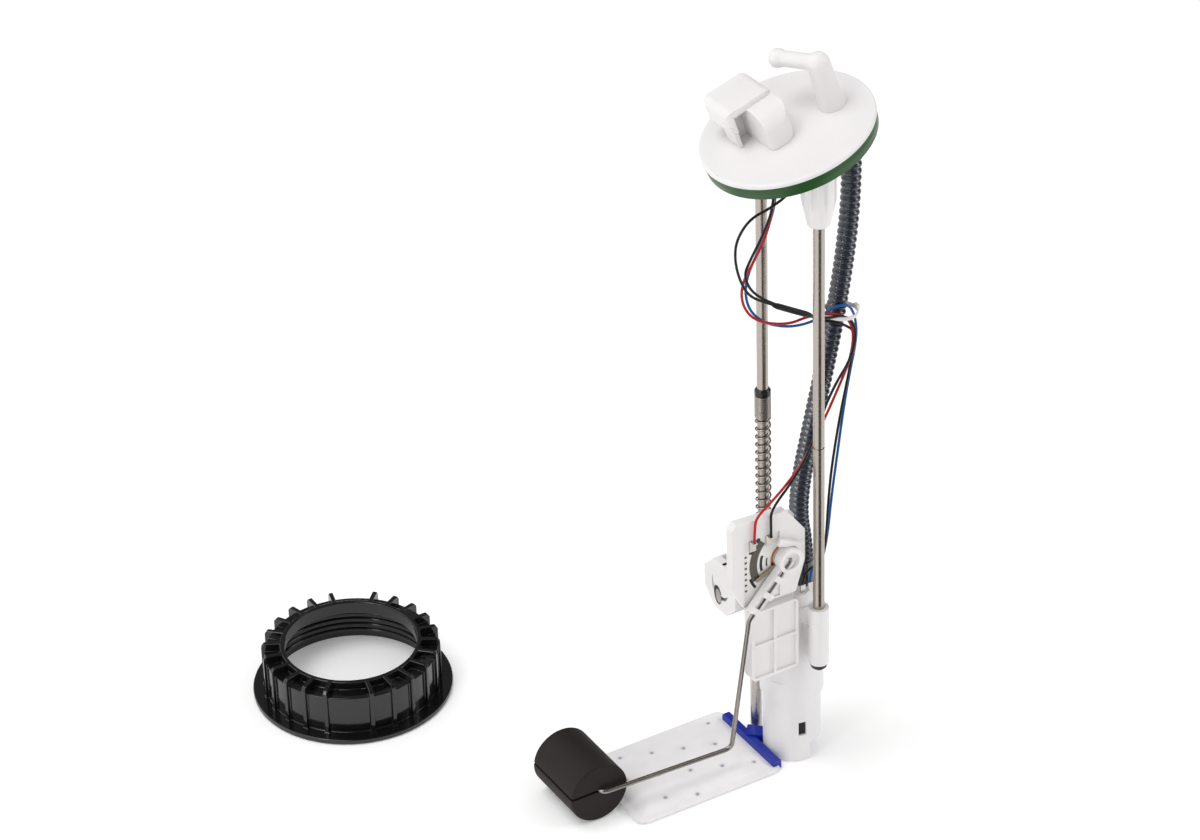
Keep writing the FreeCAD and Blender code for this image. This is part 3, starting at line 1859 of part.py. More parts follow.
blue_route = route(
    (-11.0, -4.0, gland_foot.number),
    (-11.0, -4.0, 364.0),
    (-15.8, -4.6, 349.4),
    (-23.6, -5.2, 336.0),
    (-30.6, -5.4, 323.1),
    (-32.0, -5.8, 311.4),
    (-28.4, -6.6, 300.3),
    (-19.2, -7.6, 291.4),
    (-7.5, -8.2, 285.9),
    (3.0, -8.4, 283.9),
    (12.0, -9.2, 285.0),
    (17.2, -12.6, 291.0),
    (22.8, -14.6, 292.9),
    (30.5, -13.0, 288.8),
    (35.9, -10.4, 274.6),
    (36.0, -9.4, 261.3),
    (32.0, -9.2, 242.4),
    (28.7, -9.0, 223.0),
    (24.7, -8.6, 192.7),
    (21.3, -8.4, 167.5),
    (18.6, -8.8, 144.3),
    (15.6, -9.2, 130.0),
    (7.0, -8.8, 124.0),
    (7.0, -8.8, bell_top.number + 5.0),
)
black_pump_route = route(
    (-16.0, -9.6, gland_foot.number),
    (-16.0, -9.6, 364.0),
    (-22.8, -10.2, 349.7),
    (-32.4, -10.4, 334.9),
    (-35.3, -10.4, 328.2),
    (-31.7, -10.4, 318.3),
    (-24.0, -10.4, 310.0),
    (-14.6, -10.4, 303.2),
    (-2.3, -10.0, 294.2),
    (10.0, -10.6, 286.8),
    (16.3, -13.2, 283.9),
    (24.6, -14.4, 280.0),
    (32.9, -12.4, 272.2),
    (34.0, -12.0, 264.4),
    (31.8, -11.8, 255.5),
    (28.8, -11.8, 240.6),
    (24.7, -11.6, 221.5),
    (19.5, -11.4, 190.7),
    (17.1, -11.4, 167.4),
    (15.4, -12.0, 144.0),
    (13.0, -12.4, 129.0),
    (2.0, -8.8, 123.0),
    (2.0, -8.8, bell_top.number + 5.0),
)
splice_route = black_sender_route[8:11]
splice_start = splice_route[0] + (splice_route[1] - splice_route[0]) * 0.12
splice_end = splice_route[1] + (splice_route[2] - splice_route[1]) * 0.88
splice_points = [splice_start, splice_route[1], splice_end]
cord("wire_red", red_route, wire_gauge)
cord("wire_black_sender", black_sender_route, wire_gauge)
cord("wire_blue", blue_route, wire_gauge)
cord("wire_black_pump", black_pump_route, wire_gauge)
splice_radii = [free_radii(black_sender_route)[8]]
splice = pipe(splice_points, splice_radii, size("splice_radius").number)
wire_splice = doc.addObject("Part::Feature", "wire_splice")
wire_splice.Shape = splice.cut(pipe(splice_points, splice_radii, wire_gauge + size("splice_gap").number))
keep("wire_splice", wire_splice)

# Cable tie: a white strap round the hose and the wires, with its square head
tie_width = size("tie_width")
tie_radius = size("tie_radius")
tie_band = turned(
    "tie_band",
    [
        (tie_radius, 0),
        (tie_radius + 1.1, 0),
        (tie_radius + 1.1, tie_width),
        (tie_radius, tie_width),
    ],
)
tie_head = box("tie_head", 5, 6, tie_width + 1.4, x=tie_radius + 0.3, y=-3, z=-0.7, angle=0)
tie_flat = fuse("tie_flat", [tie_band, tie_head])
keep("cable_tie", place(tie_flat, x=size("tie_x"), y=size("tie_y"), z=size("tie_z")))

# Lock ring: an open black ring with a threaded skirt, a flat lip, a raised rim and two rows of radial fins
ring_lip = size("ring_lip")
ring_radius = size("ring_radius")
ring_bore = size("ring_bore")
ring_height = size("ring_height")
ring_shoulder = size("ring_shoulder")
ring_rim_radius = size("ring_rim_radius")
ring_hole = size("ring_hole")
fin_reach = size("fin_reach")
fin_span = size("fin_span")
fin_count = size("fin_count")
lock_ring = new_body("lock_ring")
revolve(
    lock_ring,
    [
        (ring_bore, 0),
        (size("ring_lip_radius"), 0),
        (size("ring_lip_radius"), ring_lip),
        (ring_radius, ring_lip),
        (ring_radius, ring_shoulder),
        (ring_rim_radius, ring_shoulder),
        (ring_rim_radius, ring_height),
        (ring_hole, ring_height),
        (ring_hole, ring_shoulder - size("ring_top")),
        (ring_bore, ring_shoulder - size("ring_top")),
    ],
)
for side in (1, -1):
    near = (ring_rim_radius - 0.5) * side
    wall = (ring_radius - 0.5) * side
    reach = fin_reach * side
    fin = pad(
        lock_ring,
        "XZ_Plane",
        [
            (wall, ring_lip - 0.5),
            (reach, ring_lip - 0.5),
            (reach, ring_height - 2),
            (reach - 1.5 * side, ring_height),
            (near, ring_height),
            (near, ring_shoulder - 0.5),
            (wall, ring_shoulder - 0.5),
        ],
        size("fin_thickness"),
        middle=True,
    )
    polar(lock_ring, fin, fin_count, fin_span)
keep("lock_ring", place(lock_ring, x=size("ring_x"), y=size("ring_y"), angle=size("ring_turn")))

# Every object has to have built before anything is written
doc.recompute()
for item in doc.Objects:
    if "Invalid" in item.State or "Error" in item.State:
        raise RuntimeError(f"{item.Label} did not build: {item.State}")
for label, item in nodes.items():
    if item.Shape.isNull() or not item.Shape.isValid():
        raise RuntimeError(f"{label} has no valid shape")
for label, item in nodes.items():
    item.Shape.exportStep(f"parts/{label}.step")
print(len(nodes), "pieces written")
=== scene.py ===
import math

import bmesh
import bpy
from mathutils import Matrix, Vector, noise


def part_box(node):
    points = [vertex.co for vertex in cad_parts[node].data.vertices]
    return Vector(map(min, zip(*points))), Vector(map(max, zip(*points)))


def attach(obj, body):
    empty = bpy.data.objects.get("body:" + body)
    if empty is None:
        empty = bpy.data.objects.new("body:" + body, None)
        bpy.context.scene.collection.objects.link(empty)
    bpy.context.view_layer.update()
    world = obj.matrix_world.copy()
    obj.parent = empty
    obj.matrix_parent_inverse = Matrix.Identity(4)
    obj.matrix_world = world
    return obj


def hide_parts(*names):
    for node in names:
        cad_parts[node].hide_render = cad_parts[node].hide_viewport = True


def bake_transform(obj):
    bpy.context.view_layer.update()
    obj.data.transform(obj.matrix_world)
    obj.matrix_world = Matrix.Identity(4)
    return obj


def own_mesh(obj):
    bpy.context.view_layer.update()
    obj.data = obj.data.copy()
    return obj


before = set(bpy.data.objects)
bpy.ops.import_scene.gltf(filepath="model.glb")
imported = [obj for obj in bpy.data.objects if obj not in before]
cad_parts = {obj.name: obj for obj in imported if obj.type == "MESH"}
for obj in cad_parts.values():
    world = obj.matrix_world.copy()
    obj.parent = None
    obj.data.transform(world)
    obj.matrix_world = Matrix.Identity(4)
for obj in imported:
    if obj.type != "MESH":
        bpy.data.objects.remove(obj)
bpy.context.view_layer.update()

# The studio: a plain floor of white paper under three soft lights in a bright room.
# The camera stands in front of the sender's side, above the tank cover's height, and looks down.
view_heading = math.radians(-30.0)
view_elevation = math.radians(32.99)
view_roll = math.radians(-1.763)
view_distance = 2.5
view_centre = Vector((-0.10333, 0.0, 0.22347))
turn_to_part = Matrix.Rotation(view_heading, 4, "Z")
tilt_down = Matrix.Rotation(math.pi / 2 - view_elevation, 4, "X")
roll_back = Matrix.Rotation(view_roll, 4, "Z")
camera_data = bpy.data.cameras.new("camera")
camera_data.sensor_width = 36.0
camera_data.lens = 138.31
camera_data.clip_end = 60.0
camera = bpy.data.objects.new("camera", camera_data)
bpy.context.collection.objects.link(camera)
camera_turn = turn_to_part @ Matrix.Translation(view_centre) @ tilt_down
camera_aim = camera_turn @ Matrix.Translation((0, 0, view_distance))
camera.matrix_world = camera_aim @ roll_back
bpy.context.scene.camera = camera
bpy.context.scene.view_settings.view_transform = "Standard"


def new_material(name):
    """A material with its nodes, its links and its shader."""
    material = bpy.data.materials.new(name)
    material.use_nodes = True
    tree = material.node_tree
    return material, tree, tree.nodes["Principled BSDF"]


def mesh_piece(name, points, faces):
    """A smooth-shaded mesh object."""
    mesh = bpy.data.meshes.new(name)
    mesh.from_pydata(points, [], faces)
    mesh.update()
    mesh.polygons.foreach_set("use_smooth", [True] * len(mesh.polygons))
    piece = bpy.data.objects.new(name, mesh)
    bpy.context.collection.objects.link(piece)
    return piece


paper, _, paper_shader = new_material("white_paper")
paper_shader.inputs["Base Color"].default_value = (0.96, 0.96, 0.96, 1.0)
paper_shader.inputs["Roughness"].default_value = 0.9
paper_shader.inputs["Specular IOR Level"].default_value = 0.1
paper_shader.inputs["Emission Color"].default_value = (1.0, 1.0, 1.0, 1.0)
paper_shader.inputs["Emission Strength"].default_value = 0.14
floor_half = 30.0
floor_gap = 0.0004
floor = mesh_piece(
    "floor",
    [
        (-floor_half, -floor_half, 0),
        (floor_half, -floor_half, 0),
        (floor_half, floor_half, 0),
        (-floor_half, floor_half, 0),
    ],
    [(0, 1, 2, 3)],
)
floor.location.z = -floor_gap
floor.data.materials.append(paper)

# The room is even for plain light. Mirror-like surfaces see it dim, and bright only on the camera's left.
room = bpy.data.worlds.new("bright_room")
bpy.context.scene.world = room
room.use_nodes = True
room_tree = room.node_tree
bright_walls = room_tree.nodes["Background"]
bright_walls.inputs["Color"].default_value = (1.0, 0.995, 0.99, 1.0)
bright_walls.inputs["Strength"].default_value = 0.66
dim_walls = room_tree.nodes.new("ShaderNodeBackground")
dim_walls.inputs["Color"].default_value = (1.0, 0.98, 0.96, 1.0)
wall_side = room_tree.nodes.new("ShaderNodeTexCoord")
wall_turn = room_tree.nodes.new("ShaderNodeVectorMath")
wall_turn.operation = "DOT_PRODUCT"
wall_turn.inputs[1].default_value = (-0.866, 0.5, 0.0)
wall_strength = room_tree.nodes.new("ShaderNodeMapRange")
wall_strength.inputs["From Min"].default_value = 0.2
wall_strength.inputs["From Max"].default_value = 0.75
wall_strength.inputs["To Min"].default_value = 0.16
wall_strength.inputs["To Max"].default_value = 1.3
room_tree.links.new(wall_side.outputs["Generated"], wall_turn.inputs[0])
room_tree.links.new(wall_turn.outputs["Value"], wall_strength.inputs["Value"])
room_tree.links.new(wall_strength.outputs["Result"], dim_walls.inputs["Strength"])
ray_kind = room_tree.nodes.new("ShaderNodeLightPath")
wall_choice = room_tree.nodes.new("ShaderNodeMixShader")
room_tree.links.new(ray_kind.outputs["Is Glossy Ray"], wall_choice.inputs["Fac"])
room_tree.links.new(bright_walls.outputs["Background"], wall_choice.inputs[1])
room_tree.links.new(dim_walls.outputs["Background"], wall_choice.inputs[2])
room_tree.links.new(wall_choice.outputs["Shader"], room_tree.nodes["World Output"].inputs["Surface"])


def soft_box(name, place, aim, width, height, power):
    """A rectangular soft light; lengths in metres and power in watts."""
    light = bpy.data.lights.new(name, "AREA")
    light.shape = "RECTANGLE"
    light.size = width
    light.size_y = height
    light.energy = power
    lamp = bpy.data.objects.new(name, light)
    bpy.context.collection.objects.link(lamp)
    lamp.location = place
    lamp.rotation_euler = (Vector(aim) - Vector(place)).to_track_quat("-Z", "Y").to_euler()


part_middle = (-0.1, 0.05, 0.2)
soft_box("top_soft_box", (-0.9, 0.3, 2.2), part_middle, width=1.1, height=1.1, power=17.0)
soft_box("right_soft_box", (1.5, -1.0, 1.2), part_middle, width=0.9, height=0.9, power=8.0)
soft_box("left_strip", (-1.55, -0.5, 1.0), part_middle, width=0.2, height=1.2, power=4.0)

dark_card, _, dark_shader = new_material("dark_card")
dark_shader.inputs["Base Color"].default_value = (0.05, 0.04, 0.035, 1.0)
dark_shader.inputs["Roughness"].default_value = 1.0


def floor_flag(name, start, end, near, far):
    """A dark card on the paper, seen by mirror-like surfaces alone, for the dark band of polished steel."""
    outline = []
    for reach, azimuth in ((near, start), (far, start), (far, end), (near, end)):
        angle = math.radians(azimuth)
        outline.append((math.cos(angle) * reach, math.sin(angle) * reach, 0.0))
    card = mesh_piece(name, outline, [(0, 1, 2, 3)])
    card.data.materials.append(dark_card)
    card.visible_camera = False
    card.visible_diffuse = False
    card.visible_shadow = False
    card.visible_transmission = False


floor_flag("front_flag", start=-126.0, end=-76.0, near=0.04, far=1.6)


# Fuel hose: a glossy blue-black corrugated tube, pushed on a spigot of the cover and on the pump's bell.
# It is blown in a ring mould, so its ribs are even, and its ends are smooth cuffs.
foot = "pump_frame"
hose_top = Vector((0.034, -0.008, 0.3986))
bell_top = 0.110
hose_route = [
    hose_top,
    (0.034, -0.008, 0.366),
    (0.0314, -0.008, 0.33),
    (0.0254, -0.0072, 0.288),
    (0.0183, -0.0055, 0.2495),
    (0.0108, -0.004, 0.212),
    (0.0052, -0.0022, 0.181),
    (0.004, -0.0008, 0.156),
    (0.0085, 0.0, 0.134),
    (0.0085, 0.0, bell_top),
]


def smooth_line(name, route, step):
    """Points at even steps along the smooth curve that a route's points control."""
    curve = bpy.data.curves.new(name, "CURVE")
    curve.dimensions = "3D"
    curve.resolution_u = 24
    spline = curve.splines.new("NURBS")
    spline.points.add(len(route) - 1)
    for point, place in zip(spline.points, route):
        point.co = (*place, 1.0)
    spline.order_u = 3
    spline.use_endpoint_u = True
    guide = bpy.data.objects.new(name, curve)
    line = [vertex.co.copy() for vertex in bpy.data.meshes.new_from_object(guide).vertices]
    bpy.data.objects.remove(guide)
    reach = [0.0]
    for before, after in zip(line, line[1:]):
        reach.append(reach[-1] + (after - before).length)
    count = max(2, round(reach[-1] / step))
    points = []
    index = 0
    for number in range(count + 1):
        target = reach[-1] * number / count
        while index < len(line) - 2 and reach[index + 1] < target:
            index += 1
        share = (target - reach[index]) / (reach[index + 1] - reach[index])
        points.append(line[index].lerp(line[index + 1], share))
    return points, reach[-1]


def swept_tube(name, line, radius_at, sides):
    """A tube along a line; its radius follows the distance from the start, and its ends are closed."""
    points, faces = [], []
    across = Vector((0, 1, 0))
    travelled = 0.0
    for index, centre in enumerate(line):
        ahead = (line[min(index + 1, len(line) - 1)] - line[max(index - 1, 0)]).normalized()
        across = (across - ahead * across.dot(ahead)).normalized()
        other = ahead.cross(across)
        if index:
            travelled += (centre - line[index - 1]).length
        radius = radius_at(travelled)
        for side in range(sides):
            angle = 2 * math.pi * side / sides
            points.append(centre + (across * math.cos(angle) + other * math.sin(angle)) * radius)
    for ring in range(len(line) - 1):
        for side in range(sides):
            following = (side + 1) % sides
            low, high = ring * sides, (ring + 1) * sides
            faces.append((low + side, low + following, high + following, high + side))
    faces.append(tuple(reversed(range(sides))))
    faces.append(tuple(range((len(line) - 1) * sides, len(line) * sides)))
    return mesh_piece(name, points, faces)


hose_step = 0.00032
hose_line, hose_length = smooth_line("hose_guide", hose_route, hose_step)
hose_radius = 0.0056
rib_depth = 0.0016
top_cuff = 0.004
foot_cuff = 0.016
top_pitch = 0.0043
foot_pitch = 0.0034
rib_roundness = 0.9


def hose_radius_at(distance):
    """Smooth cuffs at both ends and round ribs between them, closer together towards the pump."""
    if distance < top_cuff or distance > hose_length - foot_cuff:
        return hose_radius
    along = distance - top_cuff
    whole = hose_length - top_cuff - foot_cuff
    turns = along / top_pitch + (1 / foot_pitch - 1 / top_pitch) * along * along / (2 * whole)
    wave = abs(math.cos(math.pi * turns))
    return hose_radius - rib_depth + rib_depth * wave ** rib_roundness


hose = swept_tube("corrugated_hose", hose_line, hose_radius_at, 32)
hose_plastic, _, hose_shader = new_material("hose_plastic")
hose_shader.inputs["Base Color"].default_value = (0.014, 0.019, 0.036, 1.0)
hose_shader.inputs["Specular IOR Level"].default_value = 1.0
hose_shader.inputs["Roughness"].default_value = 0.2
hose_shader.inputs["Coat Weight"].default_value = 0.2
hose_shader.inputs["Coat Roughness"].default_value = 0.1
hose.data.materials.append(hose_plastic)
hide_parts("fuel_hose")
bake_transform(hose)


# Wires: four PVC-insulated leads from the block under the cover, two to the sender and two to the pump.
# They hang in a loose loop, pass the cable tie on the hose and drop to their tabs.
gland_foot = 0.376
tab_height = 0.1702
pump_tab_top = 0.115
red_route = [
    (-0.0134, -0.006, gland_foot),
    (-0.0134, -0.006, 0.364),
    (-0.0186, -0.007, 0.3468),
    (-0.0275, -0.008, 0.3336),
    (-0.0354, -0.008, 0.3219),
    (-0.0356, -0.0082, 0.3097),
    (-0.0295, -0.009, 0.2987),
    (-0.0176, -0.01, 0.292),
    (-0.0061, -0.011, 0.2892),
    (0.0016, -0.0122, 0.2909),
    (0.0123, -0.0136, 0.2903),
    (0.0218, -0.0146, 0.2873),
    (0.0291, -0.0148, 0.2807),
    (0.0313, -0.0146, 0.2688),
    (0.0289, -0.0138, 0.2544),
    (0.0236, -0.0128, 0.2413),
    (0.0144, -0.0124, 0.2229),
    (-0.0002, -0.0138, 0.2011),
    (-0.0129, -0.0168, 0.1925),
    (-0.0274, -0.0234, 0.1893),
    (-0.0385, -0.027, 0.1865),
    (-0.041, -0.0273, 0.181),
    (-0.041, -0.0273, tab_height),
]
black_sender_route = [
    (-0.0059, -0.0112, gland_foot),
    (-0.0059, -0.0112, 0.37),
    (-0.0203, -0.0126, 0.3653),
    (-0.033, -0.013, 0.3635),
    (-0.0415, -0.013, 0.3534),
    (-0.0427, -0.013, 0.3416),
    (-0.0397, -0.013, 0.3279),
    (-0.0341, -0.0132, 0.3164),
    (-0.0228, -0.0134, 0.3086),
    (-0.0093, -0.0136, 0.3002),
    (0.0052, -0.0148, 0.2918),
    (0.0138, -0.0162, 0.2882),
    (0.0227, -0.0164, 0.2874),
    (0.0297, -0.0168, 0.281),
    (0.0317, -0.0164, 0.2696),
    (0.0274, -0.016, 0.2561),
    (0.02, -0.015, 0.2454),
    (0.012, -0.015, 0.2311),
    (0.0005, -0.0166, 0.2059),
    (-0.0132, -0.0189, 0.1921),
    (-0.023, -0.0224, 0.1877),
    (-0.03, -0.0266, 0.1847),
    (-0.0304, -0.0273, 0.1804),
    (-0.0304, -0.0273, tab_height),
]
blue_route = [
    (-0.011, -0.004, gland_foot),
    (-0.011, -0.004, 0.364),
    (-0.0158, -0.0046, 0.3494),
    (-0.0236, -0.0052, 0.336),
    (-0.0306, -0.0054, 0.3231),
    (-0.032, -0.0058, 0.3114),
    (-0.0284, -0.0066, 0.3003),
    (-0.0192, -0.0076, 0.2914),
    (-0.0075, -0.0082, 0.2859),
    (0.003, -0.0084, 0.2839),
    (0.012, -0.0092, 0.285),
    (0.0172, -0.0126, 0.291),
    (0.0228, -0.0146, 0.2929),
    (0.0305, -0.013, 0.2888),
    (0.0359, -0.0104, 0.2746),
    (0.036, -0.0094, 0.2613),
    (0.032, -0.0092, 0.2424),
    (0.0287, -0.009, 0.223),
    (0.0247, -0.0086, 0.1927),
    (0.0213, -0.0084, 0.1675),
    (0.0186, -0.0088, 0.1443),
    (0.0156, -0.0092, 0.13),
    (0.007, -0.0088, 0.124),
    (0.007, -0.0088, pump_tab_top),
]
black_pump_route = [
    (-0.016, -0.0096, gland_foot),
    (-0.016, -0.0096, 0.364),
    (-0.0228, -0.0102, 0.3497),
    (-0.0324, -0.0104, 0.3349),
    (-0.0353, -0.0104, 0.3282),
    (-0.0317, -0.0104, 0.3183),
    (-0.024, -0.0104, 0.31),
    (-0.0146, -0.0104, 0.3032),
    (-0.0023, -0.01, 0.2942),
    (0.01, -0.0106, 0.2868),
    (0.0163, -0.0132, 0.2839),
    (0.0246, -0.0144, 0.28),
    (0.0329, -0.0124, 0.2722),
    (0.034, -0.012, 0.2644),
    (0.0318, -0.0118, 0.2555),
    (0.0288, -0.0118, 0.2406),
    (0.0247, -0.0116, 0.2215),
    (0.0195, -0.0114, 0.1907),
    (0.0171, -0.0114, 0.1674),
    (0.0154, -0.012, 0.144),
    (0.013, -0.0124, 0.129),
    (0.002, -0.0088, 0.123),
    (0.002, -0.0088, pump_tab_top),
]
wire_radius = 0.00075
wire_step = 0.0012


def insulation(name, colour):
    """Soft PVC, a little uneven in gloss."""
    material, tree, shader = new_material(name)
    shader.inputs["Base Color"].default_value = (*colour, 1.0)
    shader.inputs["Specular IOR Level"].default_value = 0.3
    speckle = tree.nodes.new("ShaderNodeTexNoise")
    speckle.inputs["Scale"].default_value = 420.0
    spread = tree.nodes.new("ShaderNodeMapRange")
    spread.inputs["To Min"].default_value = 0.24
    spread.inputs["To Max"].default_value = 0.42
    tree.links.new(speckle.outputs["Fac"], spread.inputs["Value"])
    tree.links.new(spread.outputs["Result"], shader.inputs["Roughness"])
    return material


red_insulation = insulation("red_insulation", (0.43, 0.012, 0.015))
blue_insulation = insulation("blue_insulation", (0.001, 0.10, 0.36))
black_insulation = insulation("black_insulation", (0.008, 0.008, 0.009))


def lead(name, node, route, material):
    """One wire of the loom, soldered to its tab at the end of its route."""
    line = smooth_line(name + "_guide", route, wire_step)[0]
    wire = swept_tube(name, line, lambda distance: wire_radius, 14)
    wire.data.materials.append(material)
    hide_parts(node)
    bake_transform(wire)


lead(
    "red_lead",
    "wire_red",
    red_route,
    material=red_insulation,
)
lead(
    "sender_ground_lead",
    "wire_black_sender",
    black_sender_route,
    material=black_insulation,
)
lead(
    "blue_lead",
    "wire_blue",
    blue_route,
    material=blue_insulation,
)
lead(
    "pump_ground_lead",
    "wire_black_pump",
    black_pump_route,
    material=black_insulation,
)

# Splice: a short crimp sleeve of black shrink tube on the sender's ground lead.
# It tapers at both ends where the tube has shrunk onto the wire.
splice_radius = 0.0017
splice_wall = 0.0001
splice_taper = 0.004
splice_step = 0.0006
splice_left, splice_right = -0.0202, 0.0041
splice_low, splice_high = 0.29, 0.311
splice_run = []
for point in smooth_line("splice_guide", black_sender_route, splice_step)[0]:
    if splice_left < point.x < splice_right and splice_low < point.z < splice_high:
        splice_run.append(point)
splice_length = sum((after - before).length for before, after in zip(splice_run, splice_run[1:]))


def splice_radius_at(distance):
    """Full in the middle and drawn down to the wire at both ends."""
    end = min(distance, splice_length - distance)
    share = min(1.0, max(0.0, end / splice_taper))
    return wire_radius + splice_wall + (splice_radius - wire_radius - splice_wall) * share ** 0.5


splice = swept_tube("splice_sleeve", splice_run, splice_radius_at, 20)
shrink_tube = insulation("shrink_tube", (0.010, 0.010, 0.011))
splice.data.materials.append(shrink_tube)
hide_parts("wire_splice")
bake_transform(splice)

# Guide rods: two ground and polished steel rods, pressed into the cover's bosses.
# A turned groove marks the front rod where its stop ring sits.


def noise_value(tree, coordinate, scale, detail=3.0):
    """A noise texture's value, laid out in the object's own metres."""
    pattern = tree.nodes.new("ShaderNodeTexNoise")
    pattern.inputs["Scale"].default_value = scale
    pattern.inputs["Detail"].default_value = detail
    tree.links.new(coordinate, pattern.inputs["Vector"])
    return pattern.outputs["Fac"]


def group_socket(group, name, way, kind, value=None):
    """One named input or output of a shader node group."""
    socket = group.interface.new_socket(name=name, in_out=way, socket_type=kind)
    if value is not None:
        socket.default_value = value


drawn_metal = bpy.data.node_groups.new("drawn_metal", "ShaderNodeTree")
group_socket(drawn_metal, "Colour", "INPUT", "NodeSocketColor", (0.6, 0.6, 0.6, 1.0))
group_socket(drawn_metal, "Line Colour", "INPUT", "NodeSocketColor", (0.4, 0.4, 0.4, 1.0))
group_socket(drawn_metal, "Stretch", "INPUT", "NodeSocketVector", (1.0, 1.0, 0.01))
group_socket(drawn_metal, "Gloss Low", "INPUT", "NodeSocketFloat", 0.15)
group_socket(drawn_metal, "Gloss High", "INPUT", "NodeSocketFloat", 0.3)
group_socket(drawn_metal, "Colour", "OUTPUT", "NodeSocketColor")
group_socket(drawn_metal, "Roughness", "OUTPUT", "NodeSocketFloat")
group_socket(drawn_metal, "Height", "OUTPUT", "NodeSocketFloat")
metal_in = drawn_metal.nodes.new("NodeGroupInput")
metal_out = drawn_metal.nodes.new("NodeGroupOutput")
metal_place = drawn_metal.nodes.new("ShaderNodeTexCoord")
metal_stretch = drawn_metal.nodes.new("ShaderNodeVectorMath")
metal_stretch.operation = "MULTIPLY"
drawn_metal.links.new(metal_place.outputs["Object"], metal_stretch.inputs[0])
drawn_metal.links.new(metal_in.outputs["Stretch"], metal_stretch.inputs[1])
metal_lines = noise_value(drawn_metal, metal_stretch.outputs[0], 900.0)
metal_cloud = noise_value(drawn_metal, metal_place.outputs["Object"], 60.0)
metal_mix = drawn_metal.nodes.new("ShaderNodeMix")
metal_mix.data_type = "RGBA"
drawn_metal.links.new(metal_lines, metal_mix.inputs["Factor"])
drawn_metal.links.new(metal_in.outputs["Colour"], metal_mix.inputs["A"])
drawn_metal.links.new(metal_in.outputs["Line Colour"], metal_mix.inputs["B"])
metal_gloss = drawn_metal.nodes.new("ShaderNodeMapRange")
drawn_metal.links.new(metal_cloud, metal_gloss.inputs["Value"])
drawn_metal.links.new(metal_in.outputs["Gloss Low"], metal_gloss.inputs["To Min"])
drawn_metal.links.new(metal_in.outputs["Gloss High"], metal_gloss.inputs["To Max"])
drawn_metal.links.new(metal_mix.outputs["Result"], metal_out.inputs["Colour"])
drawn_metal.links.new(metal_gloss.outputs["Result"], metal_out.inputs["Roughness"])
drawn_metal.links.new(metal_lines, metal_out.inputs["Height"])


def bump(tree, shader, height, depth):
    """Turns a height into a slope of the surface; depth is in metres."""
    slope = tree.nodes.new("ShaderNodeBump")
    slope.inputs["Strength"].default_value = 1.0
    slope.inputs["Distance"].default_value = depth
    tree.links.new(height, slope.inputs["Height"])
    tree.links.new(slope.outputs["Normal"], shader.inputs["Normal"])


def metal(name, colour, line_colour, stretch, gloss, depth):
    """Drawn, ground or pressed metal with its fine lines along one direction."""
    material, tree, shader = new_material(name)
    surface = tree.nodes.new("ShaderNodeGroup")
    surface.node_tree = drawn_metal
    surface.inputs["Colour"].default_value = (*colour, 1.0)
    surface.inputs["Line Colour"].default_value = (*line_colour, 1.0)
    surface.inputs["Stretch"].default_value = stretch
    surface.inputs["Gloss Low"].default_value = gloss[0]
    surface.inputs["Gloss High"].default_value = gloss[1]
    shader.inputs["Metallic"].default_value = 1.0
    tree.links.new(surface.outputs["Colour"], shader.inputs["Base Color"])
    tree.links.new(surface.outputs["Roughness"], shader.inputs["Roughness"])
    bump(tree, shader, surface.outputs["Height"], depth)
    return material


weld_distance = 0.000004
sharp_angle = math.radians(32.0)
joined_faces = bpy.data.node_groups.new("joined_faces", "GeometryNodeTree")
joined_faces.interface.new_socket(name="Geometry", in_out="INPUT", socket_type="NodeSocketGeometry")
joined_faces.interface.new_socket(name="Geometry", in_out="OUTPUT", socket_type="NodeSocketGeometry")
faces_in = joined_faces.nodes.new("NodeGroupInput")
faces_out = joined_faces.nodes.new("NodeGroupOutput")
merge = joined_faces.nodes.new("GeometryNodeMergeByDistance")
merge.inputs["Distance"].default_value = weld_distance
forget = joined_faces.nodes.new("GeometryNodeRemoveAttribute")
forget.inputs["Name"].default_value = "custom_normal"
smooth_faces = joined_faces.nodes.new("GeometryNodeSetShadeSmooth")
smooth_edges = joined_faces.nodes.new("GeometryNodeSetShadeSmooth")
smooth_edges.domain = "EDGE"
edge_angle = joined_faces.nodes.new("GeometryNodeInputMeshEdgeAngle")
shallow = joined_faces.nodes.new("FunctionNodeCompare")
shallow.data_type = "FLOAT"
shallow.operation = "LESS_THAN"
shallow.inputs["B"].default_value = sharp_angle
joined_faces.links.new(faces_in.outputs["Geometry"], merge.inputs["Geometry"])
joined_faces.links.new(merge.outputs["Geometry"], forget.inputs["Geometry"])
joined_faces.links.new(forget.outputs["Geometry"], smooth_faces.inputs["Geometry"])
joined_faces.links.new(smooth_faces.outputs["Geometry"], smooth_edges.inputs["Geometry"])
joined_faces.links.new(edge_angle.outputs["Unsigned Angle"], shallow.inputs["A"])
joined_faces.links.new(shallow.outputs["Result"], smooth_edges.inputs["Shade Smooth"])
joined_faces.links.new(smooth_edges.outputs["Geometry"], faces_out.inputs["Geometry"])


def dress(node, material, edge=0.0):
    """Gives a piece its finish and, where edge isn't zero, the small rounding that its mould leaves."""
    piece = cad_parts[node]
    for finish in piece.material_slots:
        finish.material = material
    if edge:
        joined = piece.modifiers.new("joined_faces", "NODES")
        joined.node_group = joined_faces
        rounded = piece.modifiers.new("rounded_edges", "BEVEL")
        rounded.width = edge
        rounded.segments = 2
        rounded.limit_method = "ANGLE"
        rounded.angle_limit = sharp_angle
        rounded.harden_normals = True


polished_rod = metal(
    "polished_rod",
    colour=(0.47, 0.425, 0.385),
    line_colour=(0.43, 0.385, 0.345),
    stretch=(1.0, 1.0, 0.012),
    gloss=(0.24, 0.3),
    depth=0.000001,
)
dress("front_guide_rod", polished_rod)
dress("back_guide_rod", polished_rod)

